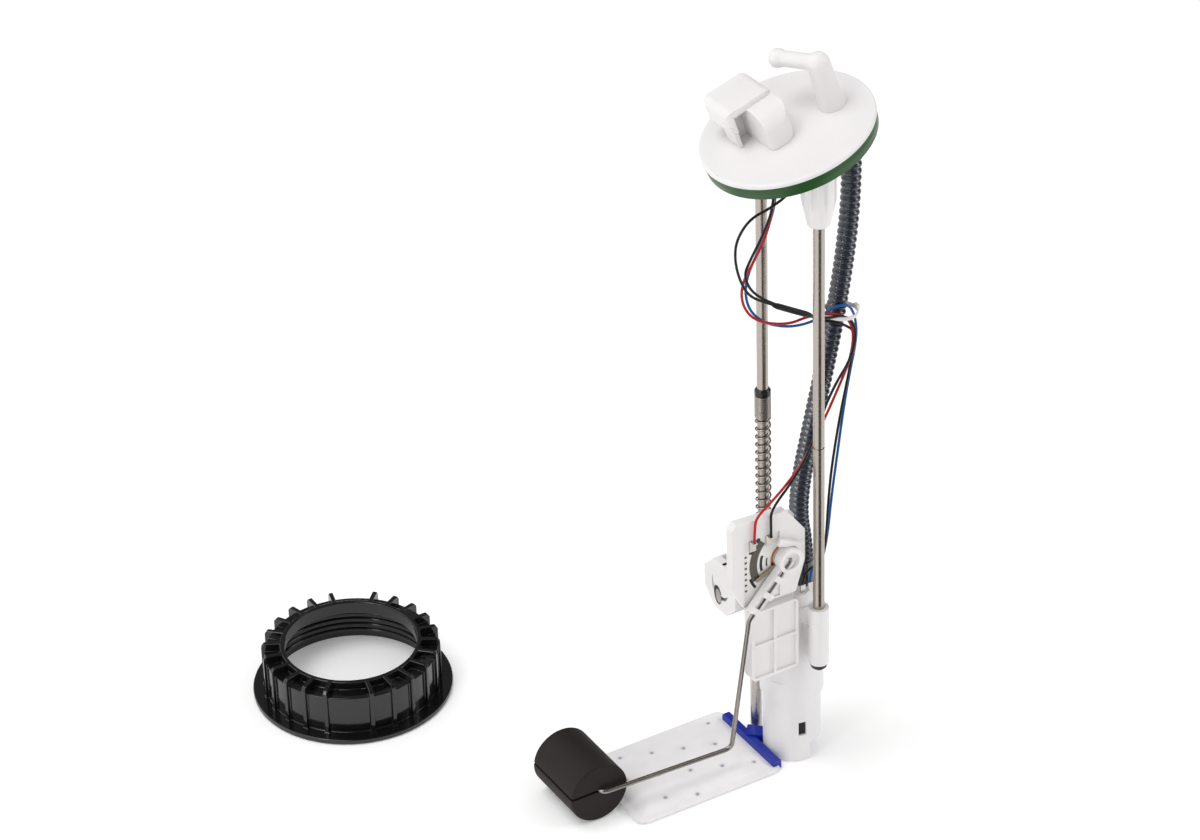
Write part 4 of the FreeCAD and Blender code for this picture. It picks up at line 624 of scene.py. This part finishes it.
# Rod end cap and spring retainer: a black rubber plug on the front rod's foot and a black push-on washer.
# The washer holds the spring on the back rod.
uneven_surface = bpy.data.node_groups.new("uneven_surface", "ShaderNodeTree")
group_socket(uneven_surface, "Colour", "INPUT", "NodeSocketColor", (0.8, 0.8, 0.8, 1.0))
group_socket(uneven_surface, "Cloud Colour", "INPUT", "NodeSocketColor", (0.7, 0.7, 0.7, 1.0))
group_socket(uneven_surface, "Cloud Scale", "INPUT", "NodeSocketFloat", 30.0)
group_socket(uneven_surface, "Grain Scale", "INPUT", "NodeSocketFloat", 1200.0)
group_socket(uneven_surface, "Gloss Low", "INPUT", "NodeSocketFloat", 0.35)
group_socket(uneven_surface, "Gloss High", "INPUT", "NodeSocketFloat", 0.5)
group_socket(uneven_surface, "Colour", "OUTPUT", "NodeSocketColor")
group_socket(uneven_surface, "Roughness", "OUTPUT", "NodeSocketFloat")
group_socket(uneven_surface, "Height", "OUTPUT", "NodeSocketFloat")
surface_in = uneven_surface.nodes.new("NodeGroupInput")
surface_out = uneven_surface.nodes.new("NodeGroupOutput")
surface_place = uneven_surface.nodes.new("ShaderNodeTexCoord")
cloud = uneven_surface.nodes.new("ShaderNodeTexNoise")
cloud.inputs["Detail"].default_value = 4.0
grain = uneven_surface.nodes.new("ShaderNodeTexNoise")
grain.inputs["Detail"].default_value = 2.0
for pattern, scale in ((cloud, "Cloud Scale"), (grain, "Grain Scale")):
    uneven_surface.links.new(surface_place.outputs["Object"], pattern.inputs["Vector"])
    uneven_surface.links.new(surface_in.outputs[scale], pattern.inputs["Scale"])
surface_mix = uneven_surface.nodes.new("ShaderNodeMix")
surface_mix.data_type = "RGBA"
uneven_surface.links.new(cloud.outputs["Fac"], surface_mix.inputs["Factor"])
uneven_surface.links.new(surface_in.outputs["Colour"], surface_mix.inputs["A"])
uneven_surface.links.new(surface_in.outputs["Cloud Colour"], surface_mix.inputs["B"])
surface_gloss = uneven_surface.nodes.new("ShaderNodeMapRange")
uneven_surface.links.new(cloud.outputs["Fac"], surface_gloss.inputs["Value"])
uneven_surface.links.new(surface_in.outputs["Gloss Low"], surface_gloss.inputs["To Min"])
uneven_surface.links.new(surface_in.outputs["Gloss High"], surface_gloss.inputs["To Max"])
uneven_surface.links.new(surface_mix.outputs["Result"], surface_out.inputs["Colour"])
uneven_surface.links.new(surface_gloss.outputs["Result"], surface_out.inputs["Roughness"])
uneven_surface.links.new(grain.outputs["Fac"], surface_out.inputs["Height"])


def moulded(name, colour, cloud_colour, gloss, grain_scale, depth, cloud_scale=30.0):
    """Moulded plastic, rubber or foam, a little cloudy, with the fine grain of its mould."""
    material, tree, shader = new_material(name)
    surface = tree.nodes.new("ShaderNodeGroup")
    surface.node_tree = uneven_surface
    surface.inputs["Colour"].default_value = (*colour, 1.0)
    surface.inputs["Cloud Colour"].default_value = (*cloud_colour, 1.0)
    surface.inputs["Cloud Scale"].default_value = cloud_scale
    surface.inputs["Grain Scale"].default_value = grain_scale
    surface.inputs["Gloss Low"].default_value = gloss[0]
    surface.inputs["Gloss High"].default_value = gloss[1]
    tree.links.new(surface.outputs["Colour"], shader.inputs["Base Color"])
    tree.links.new(surface.outputs["Roughness"], shader.inputs["Roughness"])
    bump(tree, shader, surface.outputs["Height"], depth)
    return material


black_rubber = moulded(
    "black_rubber",
    colour=(0.012, 0.012, 0.013),
    cloud_colour=(0.02, 0.019, 0.019),
    gloss=(0.38, 0.55),
    grain_scale=1600.0,
    depth=0.00002,
)
# Black plastic for the spring retainer. The same material also paints the shade inside the regulator cap's
# crescent opening and its slot.
black_plastic_and_painted_shade = moulded(
    "black_plastic_and_painted_shade",
    colour=(0.008, 0.008, 0.009),
    cloud_colour=(0.013, 0.012, 0.012),
    gloss=(0.16, 0.26),
    grain_scale=900.0,
    depth=0.000008,
)
dress("rod_end_cap", black_rubber)
dress("spring_retainer", black_plastic_and_painted_shade, edge=0.0003)

# Return spring: drawn steel wire, tightly wound at the top under the retainer and open below.
# It stands on the carrier's back sleeve and pushes the cover up.
spring_low, spring_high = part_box("return_spring")
spring_foot = spring_low.z
spring_top = spring_high.z
spring_centre = (spring_low + spring_high) / 2
spring_wire = 0.00055
coil_radius = (spring_high.x - spring_low.x) / 2 - spring_wire
closed_turns = 12
open_turns = 13
closed_spacing = 2.12
closed_length = closed_turns * spring_wire * closed_spacing
open_length = spring_top - spring_foot - closed_length - 2 * spring_wire
steps_a_turn = 40
spring_line = []
for step in range((open_turns + closed_turns) * steps_a_turn + 1):
    turn = step / steps_a_turn
    open_rise = min(turn, open_turns) * open_length / open_turns
    closed_rise = max(0.0, turn - open_turns) * closed_length / closed_turns
    angle = 2 * math.pi * turn
    spring_line.append(
        Vector(
            (
                spring_centre.x + coil_radius * math.cos(angle),
                spring_centre.y + coil_radius * math.sin(angle),
                spring_foot + spring_wire + (open_rise + closed_rise),
            )
        )
    )
spring = swept_tube("coil_spring", spring_line, lambda distance: spring_wire, 12)
spring_steel = metal(
    "spring_steel",
    colour=(0.42, 0.39, 0.36),
    line_colour=(0.3, 0.28, 0.26),
    stretch=(1.0, 1.0, 1.0),
    gloss=(0.26, 0.4),
    depth=0.000006,
)
spring.data.materials.append(spring_steel)
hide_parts("return_spring")
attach(spring, foot)
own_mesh(spring)

# Pump cup: the white swirl pot, moulded in nylon, with a stepped skirt and a square window at its foot.
# Light passes a little way into the plastic, so its shaded sides stay soft.
nylon = moulded(
    "white_nylon",
    colour=(0.815, 0.80, 0.80),
    cloud_colour=(0.785, 0.766, 0.765),
    gloss=(0.34, 0.48),
    grain_scale=700.0,
    depth=0.00001,
    cloud_scale=22.0,
)
nylon_shader = nylon.node_tree.nodes["Principled BSDF"]
nylon_shader.inputs["Subsurface Weight"].default_value = 0.25
nylon_shader.inputs["Subsurface Radius"].default_value = (1.0, 0.85, 0.75)
nylon_shader.inputs["Subsurface Scale"].default_value = 0.004
dress("pump_cup", nylon, edge=0.0004)

# Carrier: the white nylon tube over the cup, with a domed shoulder, two rod sleeves and the ribbed bracket.
# It is one moulding; the steel support tube is pressed into it and stands beside the cup.
dress("pump_carrier", nylon, edge=0.0004)
tube_steel = metal(
    "tube_steel",
    colour=(0.66, 0.63, 0.6),
    line_colour=(0.55, 0.52, 0.49),
    stretch=(1.0, 1.0, 0.02),
    gloss=(0.2, 0.32),
    depth=0.000004,
)
dress("support_tube", tube_steel)

# Pump: a steel can with a white bell, a black rubber isolator and the inlet cover at its foot.
# The turbine, rotor, magnets and brushes are sealed inside it.
dress("pump_can", tube_steel)
dress("end_bell", nylon, edge=0.0003)
dress("pump_isolator", black_rubber, edge=0.0003)
dress("inlet_cover", nylon)
dress("chamber_plate", nylon)
turbine_plastic = moulded(
    "turbine_plastic",
    colour=(0.03, 0.028, 0.026),
    cloud_colour=(0.05, 0.045, 0.04),
    gloss=(0.3, 0.4),
    grain_scale=900.0,
    depth=0.00001,
)
dress("impeller", turbine_plastic)
dress("rotor_shaft", polished_rod)
lacquered_iron = metal(
    "lacquered_iron",
    colour=(0.36, 0.2, 0.12),
    line_colour=(0.28, 0.15, 0.09),
    stretch=(1.0, 1.0, 20.0),
    gloss=(0.3, 0.42),
    depth=0.00001,
)
dress("armature", lacquered_iron)
bar_copper = metal(
    "bar_copper",
    colour=(0.78, 0.36, 0.2),
    line_colour=(0.6, 0.26, 0.14),
    stretch=(1.0, 1.0, 0.05),
    gloss=(0.22, 0.34),
    depth=0.000006,
)
dress("commutator", bar_copper)
magnet_iron = moulded(
    "magnet_ferrite",
    colour=(0.05, 0.05, 0.055),
    cloud_colour=(0.08, 0.078, 0.08),
    gloss=(0.5, 0.7),
    grain_scale=1400.0,
    depth=0.00003,
)
dress("magnets", magnet_iron)
brush_carbon = moulded(
    "brush_carbon",
    colour=(0.03, 0.03, 0.032),
    cloud_colour=(0.055, 0.052, 0.05),
    gloss=(0.45, 0.6),
    grain_scale=1800.0,
    depth=0.00002,
)
dress("brush_left", brush_carbon)
dress("brush_right", brush_carbon)
dress("pump_tab_feed", tube_steel)
dress("pump_tab_ground", tube_steel)
dress("check_valve", black_rubber)

# Strainer clip: a royal blue moulding whose neck plugs onto the pump's inlet.
# Its bar grips the bag's edge.
clip_blue = moulded(
    "clip_blue",
    colour=(0.001, 0.021, 0.34),
    cloud_colour=(0.001, 0.015, 0.26),
    gloss=(0.3, 0.42),
    grain_scale=900.0,
    depth=0.00002,
)
dress("strainer_clip", clip_blue, edge=0.0005)

# Strainer bag: two layers of white polyester felt, welded flat along the rim and pinned by dot welds.
# The felt stands up a little between the dots, and each dot is a small grey-violet dimple.
bag_low, bag_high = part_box("strainer_bag")
bag_rim = 0.005
bag_corner = 0.006
dot_start = Vector((-0.0908, 0.0385))
dot_along = Vector((0.0173, -0.0062))
dot_across = Vector((-0.0075, -0.0195))
dot_rows = range(-3, 5)
dot_columns = range(-6, 8)
dot_radius = 0.0011
left_margin = 0.004
front_margin = 0.001
back_margin = 0.003
dots = []
for row in dot_rows:
    for column in dot_columns:
        dot = dot_start + dot_along * column + dot_across * row
        inside_x = bag_low.x + bag_rim + left_margin < dot.x < bag_high.x - bag_rim
        inside_y = bag_low.y + bag_rim + front_margin < dot.y < bag_high.y - bag_rim - back_margin
        if inside_x and inside_y:
            dots.append(dot)


def bag_edge(place):
    """Distance from a point to the bag's outline, which has round corners; positive inside."""
    half = Vector((bag_high.x - bag_low.x, bag_high.y - bag_low.y)) / 2
    middle = Vector((bag_high.x + bag_low.x, bag_high.y + bag_low.y)) / 2
    reach = Vector(
        (
            abs(place.x - middle.x) - half.x + bag_corner,
            abs(place.y - middle.y) - half.y + bag_corner,
        )
    )
    outside = Vector((max(reach.x, 0.0), max(reach.y, 0.0))).length
    return bag_corner - outside - min(max(reach.x, reach.y), 0.0)


bag_step = 0.0008
bag_base = 0.0008
bag_puff = 0.0042
bag_floor = 0.0002
rim_thickness = 0.0012
rim_round_width = 0.0008
outline_slack = 0.3
crown_reach = 0.006
dimple_depth = 0.62
dimple_reach = 0.0042
dimple_slope = 1.3
ripple_height = 0.0007
ripple_scale = 38


def bag_height(place):
    """Height of the upper layer: the welded rim, the crown and the dimples of the dot welds."""
    inward = max(0.0, bag_edge(place) - bag_rim)
    crown = 1 - math.exp(-inward / crown_reach)
    near = min((place - dot).length for dot in dots)
    dimple = 1 - dimple_depth * math.exp(-((near / dimple_reach) ** dimple_slope))
    ripple = noise.noise(Vector((place.x * ripple_scale, place.y * ripple_scale, 0.0))) * ripple_height
    return bag_base + rim_thickness + (bag_puff - rim_thickness + ripple) * crown * dimple


columns = round((bag_high.x - bag_low.x) / bag_step)
rows = round((bag_high.y - bag_low.y) / bag_step)
felt_mesh = bmesh.new()
sheet = {}
for column in range(columns + 1):
    for row in range(rows + 1):
        flat = Vector(
            (
                bag_low.x + (bag_high.x - bag_low.x) * column / columns,
                bag_low.y + (bag_high.y - bag_low.y) * row / rows,
            )
        )
        if bag_edge(flat) >= -bag_step * outline_slack:
            sheet[column, row] = flat
upper = {}
lower = {}
for key, flat in sheet.items():
    rim_fade = min(1.0, max(0.0, bag_edge(flat)) / rim_round_width)
    middle = bag_base + rim_thickness / 2
    top = middle + (bag_height(flat) - middle) * rim_fade ** 0.5
    foot_height = middle - (middle - bag_floor) * rim_fade ** 0.5
    upper[key] = felt_mesh.verts.new((flat.x, flat.y, top))
    lower[key] = felt_mesh.verts.new((flat.x, flat.y, foot_height))
for column, row in sheet:
    corners = [(column, row), (column + 1, row), (column + 1, row + 1), (column, row + 1)]
    if all(corner in sheet for corner in corners):
        felt_mesh.faces.new([upper[corner] for corner in corners])
        felt_mesh.faces.new([lower[corner] for corner in reversed(corners)])
loose = [vertex for vertex in felt_mesh.verts if not vertex.link_faces]
bmesh.ops.delete(felt_mesh, geom=loose, context="VERTS")
open_edges = [edge for edge in felt_mesh.edges if edge.is_boundary]
bmesh.ops.bridge_loops(felt_mesh, edges=open_edges)
bmesh.ops.recalc_face_normals(felt_mesh, faces=felt_mesh.faces)
bag_data = bpy.data.meshes.new("felt_bag")
felt_mesh.to_mesh(bag_data)
felt_mesh.free()
bag_data.polygons.foreach_set("use_smooth", [True] * len(bag_data.polygons))
bag = bpy.data.objects.new("felt_bag", bag_data)
bpy.context.collection.objects.link(bag)
felt, felt_tree, felt_shader = new_material("white_felt")
felt_place = felt_tree.nodes.new("ShaderNodeTexCoord")
felt_fibres = noise_value(felt_tree, felt_place.outputs["Object"], 1500.0, 6.0)
felt_patches = noise_value(felt_tree, felt_place.outputs["Object"], 90.0, 4.0)
felt_mix = felt_tree.nodes.new("ShaderNodeMix")
felt_mix.data_type = "RGBA"
felt_mix.inputs["A"].default_value = (0.76, 0.75, 0.77, 1.0)
felt_mix.inputs["B"].default_value = (0.86, 0.845, 0.84, 1.0)
felt_tree.links.new(felt_patches, felt_mix.inputs["Factor"])
dot_mask = bag_data.attributes.new("dot_weld", "FLOAT", "POINT")
for index, vertex in enumerate(bag_data.vertices):
    near = min((vertex.co.xy - dot).length for dot in dots)
    upward = vertex.co.z > bag_base + rim_thickness
    dot_mask.data[index].value = math.exp(-((near / dot_radius) ** 2)) if upward else 0.0
dot_value = felt_tree.nodes.new("ShaderNodeAttribute")
dot_value.attribute_name = "dot_weld"
dot_mix = felt_tree.nodes.new("ShaderNodeMix")
dot_mix.data_type = "RGBA"
dot_mix.inputs["B"].default_value = (0.115, 0.10, 0.19, 1.0)
felt_tree.links.new(dot_value.outputs["Fac"], dot_mix.inputs["Factor"])
felt_tree.links.new(felt_mix.outputs["Result"], dot_mix.inputs["A"])
felt_tree.links.new(dot_mix.outputs["Result"], felt_shader.inputs["Base Color"])
felt_shader.inputs["Roughness"].default_value = 0.95
felt_shader.inputs["Sheen Weight"].default_value = 0.3
felt_shader.inputs["Sheen Roughness"].default_value = 0.5
bump(felt_tree, felt_shader, felt_fibres, 0.00006)
bag_data.materials.append(felt)
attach(bag, foot)
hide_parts("strainer_bag")

# Level sender: a white frame with a ceramic card in its recess, the printed resistor and two solder tabs.
# The card has printed borders and a comb of short black pads that the wiper's contact steps along.
dress("sender_frame", nylon, edge=0.0003)
card_ceramic = moulded(
    "card_ceramic",
    colour=(0.80, 0.785, 0.77),
    cloud_colour=(0.74, 0.72, 0.70),
    gloss=(0.4, 0.55),
    grain_scale=1300.0,
    depth=0.00001,
)
dress("resistor_card", card_ceramic, edge=0.0001)
resistor_ink = moulded(
    "resistor_ink",
    colour=(0.075, 0.062, 0.05),
    cloud_colour=(0.11, 0.092, 0.075),
    gloss=(0.34, 0.5),
    grain_scale=900.0,
    depth=0.00001,
)
dress("resistor_track", resistor_ink)
dress("sender_tab_red", tube_steel)
dress("sender_tab_black", tube_steel)
pin_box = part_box("pivot_pin")
pivot = Vector(((pin_box[0].x + pin_box[1].x) / 2, 0.0, (pin_box[0].z + pin_box[1].z) / 2))
card_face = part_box("resistor_card")[0].y
print_height = 0.00012


def thin_plate(name, outline, rise, material):
    """A thin plate on a flat face that moves with the pump; rise is its thickness, as a step outward."""
    near = [Vector(corner) for corner in outline]
    far = [corner + Vector(rise) for corner in near]
    count = len(near)
    faces = [tuple(range(count, 2 * count))]
    for index in range(count):
        following = (index + 1) % count
        faces.append((index, following, count + following, count + index))
    plate = mesh_piece(name, near + far, faces)
    plate.data.polygons.foreach_set("use_smooth", [False] * len(plate.data.polygons))
    plate.data.materials.append(material)
    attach(plate, foot)


def printed_patch(name, outline, material):
    """A printed area on the card's face, from its outline in X and Z."""
    thin_plate(name, [(x, card_face, z) for x, z in outline], (0, -print_height, 0), material)


def arc_outline(inner, outer, start, end):
    """The outline of a flat arc round the pivot, in X and Z; angles in degrees."""
    steps = 24
    angles = [math.radians(start + (end - start) * step / steps) for step in range(steps + 1)]
    there = [(pivot.x + outer * math.cos(angle), pivot.z + outer * math.sin(angle)) for angle in angles]
    angles.reverse()
    back = [(pivot.x + inner * math.cos(angle), pivot.z + inner * math.sin(angle)) for angle in angles]
    return there + back


ink_black = moulded(
    "printed_black",
    colour=(0.012, 0.011, 0.011),
    cloud_colour=(0.02, 0.018, 0.017),
    gloss=(0.3, 0.45),
    grain_scale=900.0,
    depth=0.000006,
)
upper_border = arc_outline(inner=0.0228, outer=0.0250, start=133, end=158)
printed_patch("upper_border", upper_border, ink_black)
lower_border = arc_outline(inner=0.0228, outer=0.0244, start=198, end=216)
printed_patch("lower_border", lower_border, ink_black)
inner_border = arc_outline(inner=0.0148, outer=0.0164, start=160, end=196)
printed_patch("inner_border", inner_border, ink_black)
ground_strip = arc_outline(inner=0.0116, outer=0.0124, start=166, end=192)
printed_patch("ground_strip", ground_strip, ink_black)
copper_contact = arc_outline(inner=0.0078, outer=0.0094, start=120, end=222)
printed_patch("copper_contact", copper_contact, bar_copper)
pad_left = -0.0459
first_pad = 0.1375
pad_width = 0.0013
pad_height = 0.0012
pad_pitch = 0.0037
pad_count = 7
for pad in range(pad_count):
    pad_foot = first_pad + pad_pitch * pad
    corners = [
        (pad_left, pad_foot),
        (pad_left + pad_width, pad_foot),
        (pad_left + pad_width, pad_foot + pad_height),
        (pad_left, pad_foot + pad_height),
    ]
    printed_patch(f"comb_pad_{pad}", corners, ink_black)
dress("pivot_pin", polished_rod)

# Float arm: a white hub that snaps on the pin, with three clips that hold the bent steel wire.
# A springy alloy wiper is riveted to its back, and a foam float hangs on the wire's hook.
dress("arm_hub", nylon, edge=0.0003)
wiper_alloy = metal(
    "wiper_alloy",
    colour=(0.46, 0.39, 0.29),
    line_colour=(0.36, 0.3, 0.22),
    stretch=(1.0, 1.0, 0.1),
    gloss=(0.26, 0.38),
    depth=0.000004,
)
dress("wiper", wiper_alloy)
arm_steel = metal(
    "arm_steel",
    colour=(0.36, 0.335, 0.31),
    line_colour=(0.26, 0.24, 0.22),
    stretch=(1.0, 1.0, 0.05),
    gloss=(0.2, 0.32),
    depth=0.000004,
)
dress("float_wire", arm_steel)
foam = moulded(
    "float_foam",
    colour=(0.010, 0.007, 0.006),
    cloud_colour=(0.016, 0.011, 0.009),
    gloss=(0.6, 0.78),
    grain_scale=2200.0,
    depth=0.00005,
    cloud_scale=40.0,
)
foam.node_tree.nodes["Principled BSDF"].inputs["Specular IOR Level"].default_value = 0.3
float_low, float_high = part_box("float")
float_radius = (float_high.x - float_low.x) / 2
float_middle = Vector(((float_low.x + float_high.x) / 2, 0.0, (float_low.z + float_high.z) / 2))
hook_height = 0.0200
hook_room = 0.0014
slit_half = 0.0008
rim_round = 0.0008
slit_level = hook_height - float_middle.z
rim_start = math.pi - math.asin((slit_level + slit_half) / float_radius)
rim_end = math.pi - math.asin((slit_level - slit_half) / float_radius)
hole_start = math.pi - math.asin(slit_half / hook_room)
rim_steps = 72
hole_steps = 14


def float_section(radius):
    """The foam's outline in X and Z: the rim, in along the slit, round the hook's hole and out again."""
    outline = []
    for step in range(rim_steps + 1):
        angle = rim_end - 2 * math.pi + (rim_start - rim_end + 2 * math.pi) * step / rim_steps
        outline.append((radius * math.cos(angle), radius * math.sin(angle)))
    for step in range(hole_steps + 1):
        angle = hole_start - 2 * hole_start * step / hole_steps
        outline.append((hook_room * math.cos(angle), slit_level + hook_room * math.sin(angle)))
    return outline


float_layers = [
    (float_low.y, float_radius - rim_round),
    (float_low.y + rim_round, float_radius),
    (float_high.y - rim_round, float_radius),
    (float_high.y, float_radius - rim_round),
]
float_points = []
for depth, radius in float_layers:
    for x, z in float_section(radius):
        float_points.append((float_middle.x + x, depth, float_middle.z + z))
ring_size = len(float_points) // len(float_layers)
float_faces = [tuple(range(ring_size)), tuple(reversed(range(3 * ring_size, 4 * ring_size)))]
for layer in range(len(float_layers) - 1):
    for corner in range(ring_size):
        following = (corner + 1) % ring_size
        near, far = layer * ring_size, (layer + 1) * ring_size
        float_faces.append((near + corner, far + corner, far + following, near + following))
foam_float = mesh_piece("foam_float", float_points, float_faces)
foam_float.data.polygons.foreach_set("use_smooth", [False] * len(foam_float.data.polygons))
foam_float.data.materials.append(foam)
foam_edges = foam_float.modifiers.new("joined_faces", "NODES")
foam_edges.node_group = joined_faces
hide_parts("float")
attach(foam_float, "float_arm")

# Pressure regulator: a steel can with its valve, pressed into the carrier's holder under a white cap.
# The cap has eight sides, a round face with a crescent opening, and a slot on top.
dress("regulator_can", tube_steel, edge=0.0003)
contact_brass = metal(
    "contact_brass",
    colour=(0.74, 0.55, 0.27),
    line_colour=(0.6, 0.43, 0.2),
    stretch=(1.0, 1.0, 0.2),
    gloss=(0.24, 0.36),
    depth=0.000006,
)
dress("regulator_valve", contact_brass)
dress("regulator_cap", nylon, edge=0.0004)
cap_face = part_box("regulator_cap")[0].x
cap_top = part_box("regulator_cap")[1].z
window_depth = 0.00015
# The crescent opening gets two thin plates. The black one across it is painted shade inside the opening,
# and the steel one stands for the can seen through it. The steel plate is shrunk towards kidney_right, so
# the painted shade shows as a dark rim round the rest of the opening.
kidney = [
    (0.0024, 0.1264),
    (0.0046, 0.1256),
    (0.0057, 0.1236),
    (0.0058, 0.1205),
    (0.0048, 0.1170),
    (0.0028, 0.1147),
    (0.0006, 0.1148),
    (-0.0010, 0.1166),
    (-0.0016, 0.1196),
    (-0.0011, 0.1230),
    (0.0004, 0.1254),
]
thin_plate(
    "crescent_painted_shade",
    [(cap_face, y, z) for y, z in kidney],
    (-window_depth, 0, 0),
    black_plastic_and_painted_shade,
)
kidney_right = Vector((-0.0016, 0.1200))
steel_share = 0.74
steel_corners = [kidney_right + (Vector(corner) - kidney_right) * steel_share for corner in kidney]
thin_plate(
    "window_steel",
    [(cap_face - window_depth, y, z) for y, z in steel_corners],
    (-window_depth, 0, 0),
    tube_steel,
)
# A black plate on the cap's top over its slot: painted shade in the slot.
top_slot = [
    (-0.0459, -0.0032),
    (-0.0420, -0.0032),
    (-0.0414, -0.0022),
    (-0.0420, -0.0014),
    (-0.0459, -0.0014),
]
thin_plate(
    "top_slot_painted_shade",
    [(x, y, cap_top) for x, y in top_slot],
    (0, 0, window_depth),
    black_plastic_and_painted_shade,
)

# Tank cover: a tilted white nylon disc with a skirt and two ribbed bosses, and a green rubber seal.
# The fuel elbow, the connector's housing and the wires' gland are moulded on it.
dress("tank_cover", nylon, edge=0.0004)
seal_rubber = moulded(
    "green_rubber",
    colour=(0.014, 0.085, 0.012),
    cloud_colour=(0.010, 0.062, 0.009),
    gloss=(0.28, 0.42),
    grain_scale=1100.0,
    depth=0.00001,
)
dress("cover_seal", seal_rubber)
dress("fuel_elbow", nylon)
dress("connector_housing", nylon, edge=0.0005)
dress("connector_pins", contact_brass, edge=0.0001)
dress("wire_gland", nylon, edge=0.0006)

# Cable tie: a thin white nylon strap round the hose and the wires, pulled through its square head.
# Fine teeth run round the strap, and it hangs a little lower towards its head.
tie_low, tie_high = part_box("cable_tie")
tie_inner = 0.0088
tie_centre = Vector((0.0259, -0.00985, (tie_low.z + tie_high.z) / 2))
tie_wall = 0.0009
tie_half = 0.00105
tie_steps = 180
tie_slope = 0.06
tie_chamfer = 0.0002
tie_flat_share = 0.7
tooth_height = 0.00012
tooth_spacing = 3
tie_mesh = bmesh.new()
strap = []
for step in range(tie_steps):
    angle = 2 * math.pi * step / tie_steps
    outward = Vector((math.cos(angle), math.sin(angle), 0))
    lift = Vector((0, 0, -tie_slope * outward.x * tie_inner))
    tooth = tooth_height if step % tooth_spacing == 0 else 0.0
    ring = []
    for reach, height in (
        (tie_inner, -tie_half),
        (tie_inner + tie_wall - tie_chamfer, -tie_half),
        (tie_inner + tie_wall + tooth, -tie_half * tie_flat_share),
        (tie_inner + tie_wall + tooth, tie_half * tie_flat_share),
        (tie_inner + tie_wall - tie_chamfer, tie_half),
        (tie_inner, tie_half),
    ):
        ring.append(tie_mesh.verts.new(tie_centre + outward * reach + Vector((0, 0, height)) + lift))
    strap.append(ring)
for ring, following in zip(strap, strap[1:] + strap[:1]):
    for side in range(len(ring)):
        other = (side + 1) % len(ring)
        tie_mesh.faces.new((ring[side], following[side], following[other], ring[other]))
head_size = (0.0024, 0.0038, 0.0030)
head_reach = 0.0014
head_round = 0.0004
head_block = bmesh.ops.create_cube(tie_mesh, size=1.0)["verts"]
bmesh.ops.scale(tie_mesh, verts=head_block, vec=head_size)
head_place = tie_centre + Vector((tie_inner + head_reach, 0, -tie_slope * tie_inner))
bmesh.ops.translate(tie_mesh, verts=head_block, vec=head_place)
head_edges = list({edge for vertex in head_block for edge in vertex.link_edges})
bmesh.ops.bevel(tie_mesh, geom=head_edges, offset=head_round, segments=2, affect="EDGES")
bmesh.ops.recalc_face_normals(tie_mesh, faces=tie_mesh.faces)
tie_data = bpy.data.meshes.new("cable_tie_strap")
tie_mesh.to_mesh(tie_data)
tie_mesh.free()
tie = bpy.data.objects.new("cable_tie_strap", tie_data)
bpy.context.collection.objects.link(tie)
tie_data.materials.append(nylon)
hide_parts("cable_tie")
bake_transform(tie)

# Lock ring: a glossy black moulding with a threaded skirt, a flat lip and two rows of radial fins.
# It stands on its lip beside the pump, and four turns of thread run round the inside of the skirt.
gloss_black = moulded(
    "ring_black",
    colour=(0.0045, 0.0045, 0.005),
    cloud_colour=(0.008, 0.0075, 0.0075),
    gloss=(0.09, 0.17),
    grain_scale=500.0,
    depth=0.00001,
    cloud_scale=60.0,
)
gloss_black.node_tree.nodes["Principled BSDF"].inputs["Specular IOR Level"].default_value = 0.6
dress("lock_ring", gloss_black, edge=0.0006)
ring_low, ring_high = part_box("lock_ring")
ring_centre = (ring_low + ring_high) / 2
thread_radius = 0.0486
thread_depth = 0.0011
thread_sink = 0.0001
thread_tip = 0.0002
thread_pitch = 0.0038
thread_foot = 0.0045
thread_turns = 4
thread_steps = 160
thread_line = []
for step in range(thread_turns * thread_steps + 1):
    angle = 2 * math.pi * step / thread_steps
    thread_line.append(
        Vector(
            (
                ring_centre.x + (thread_radius - thread_sink) * math.cos(angle),
                ring_centre.y + (thread_radius - thread_sink) * math.sin(angle),
                thread_foot + thread_pitch * step / thread_steps,
            )
        )
    )
thread_end = 0.02
thread_length = sum((after - before).length for before, after in zip(thread_line, thread_line[1:]))


def thread_radius_at(distance):
    """The ridge runs out gently at both ends."""
    end = min(distance, thread_length - distance)
    return thread_tip + (thread_depth - thread_tip) * min(1.0, max(0.0, end / thread_end))


thread = swept_tube("ring_thread", thread_line, thread_radius_at, 10)
thread.data.materials.append(gloss_black)
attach(thread, "lock_ring_body")
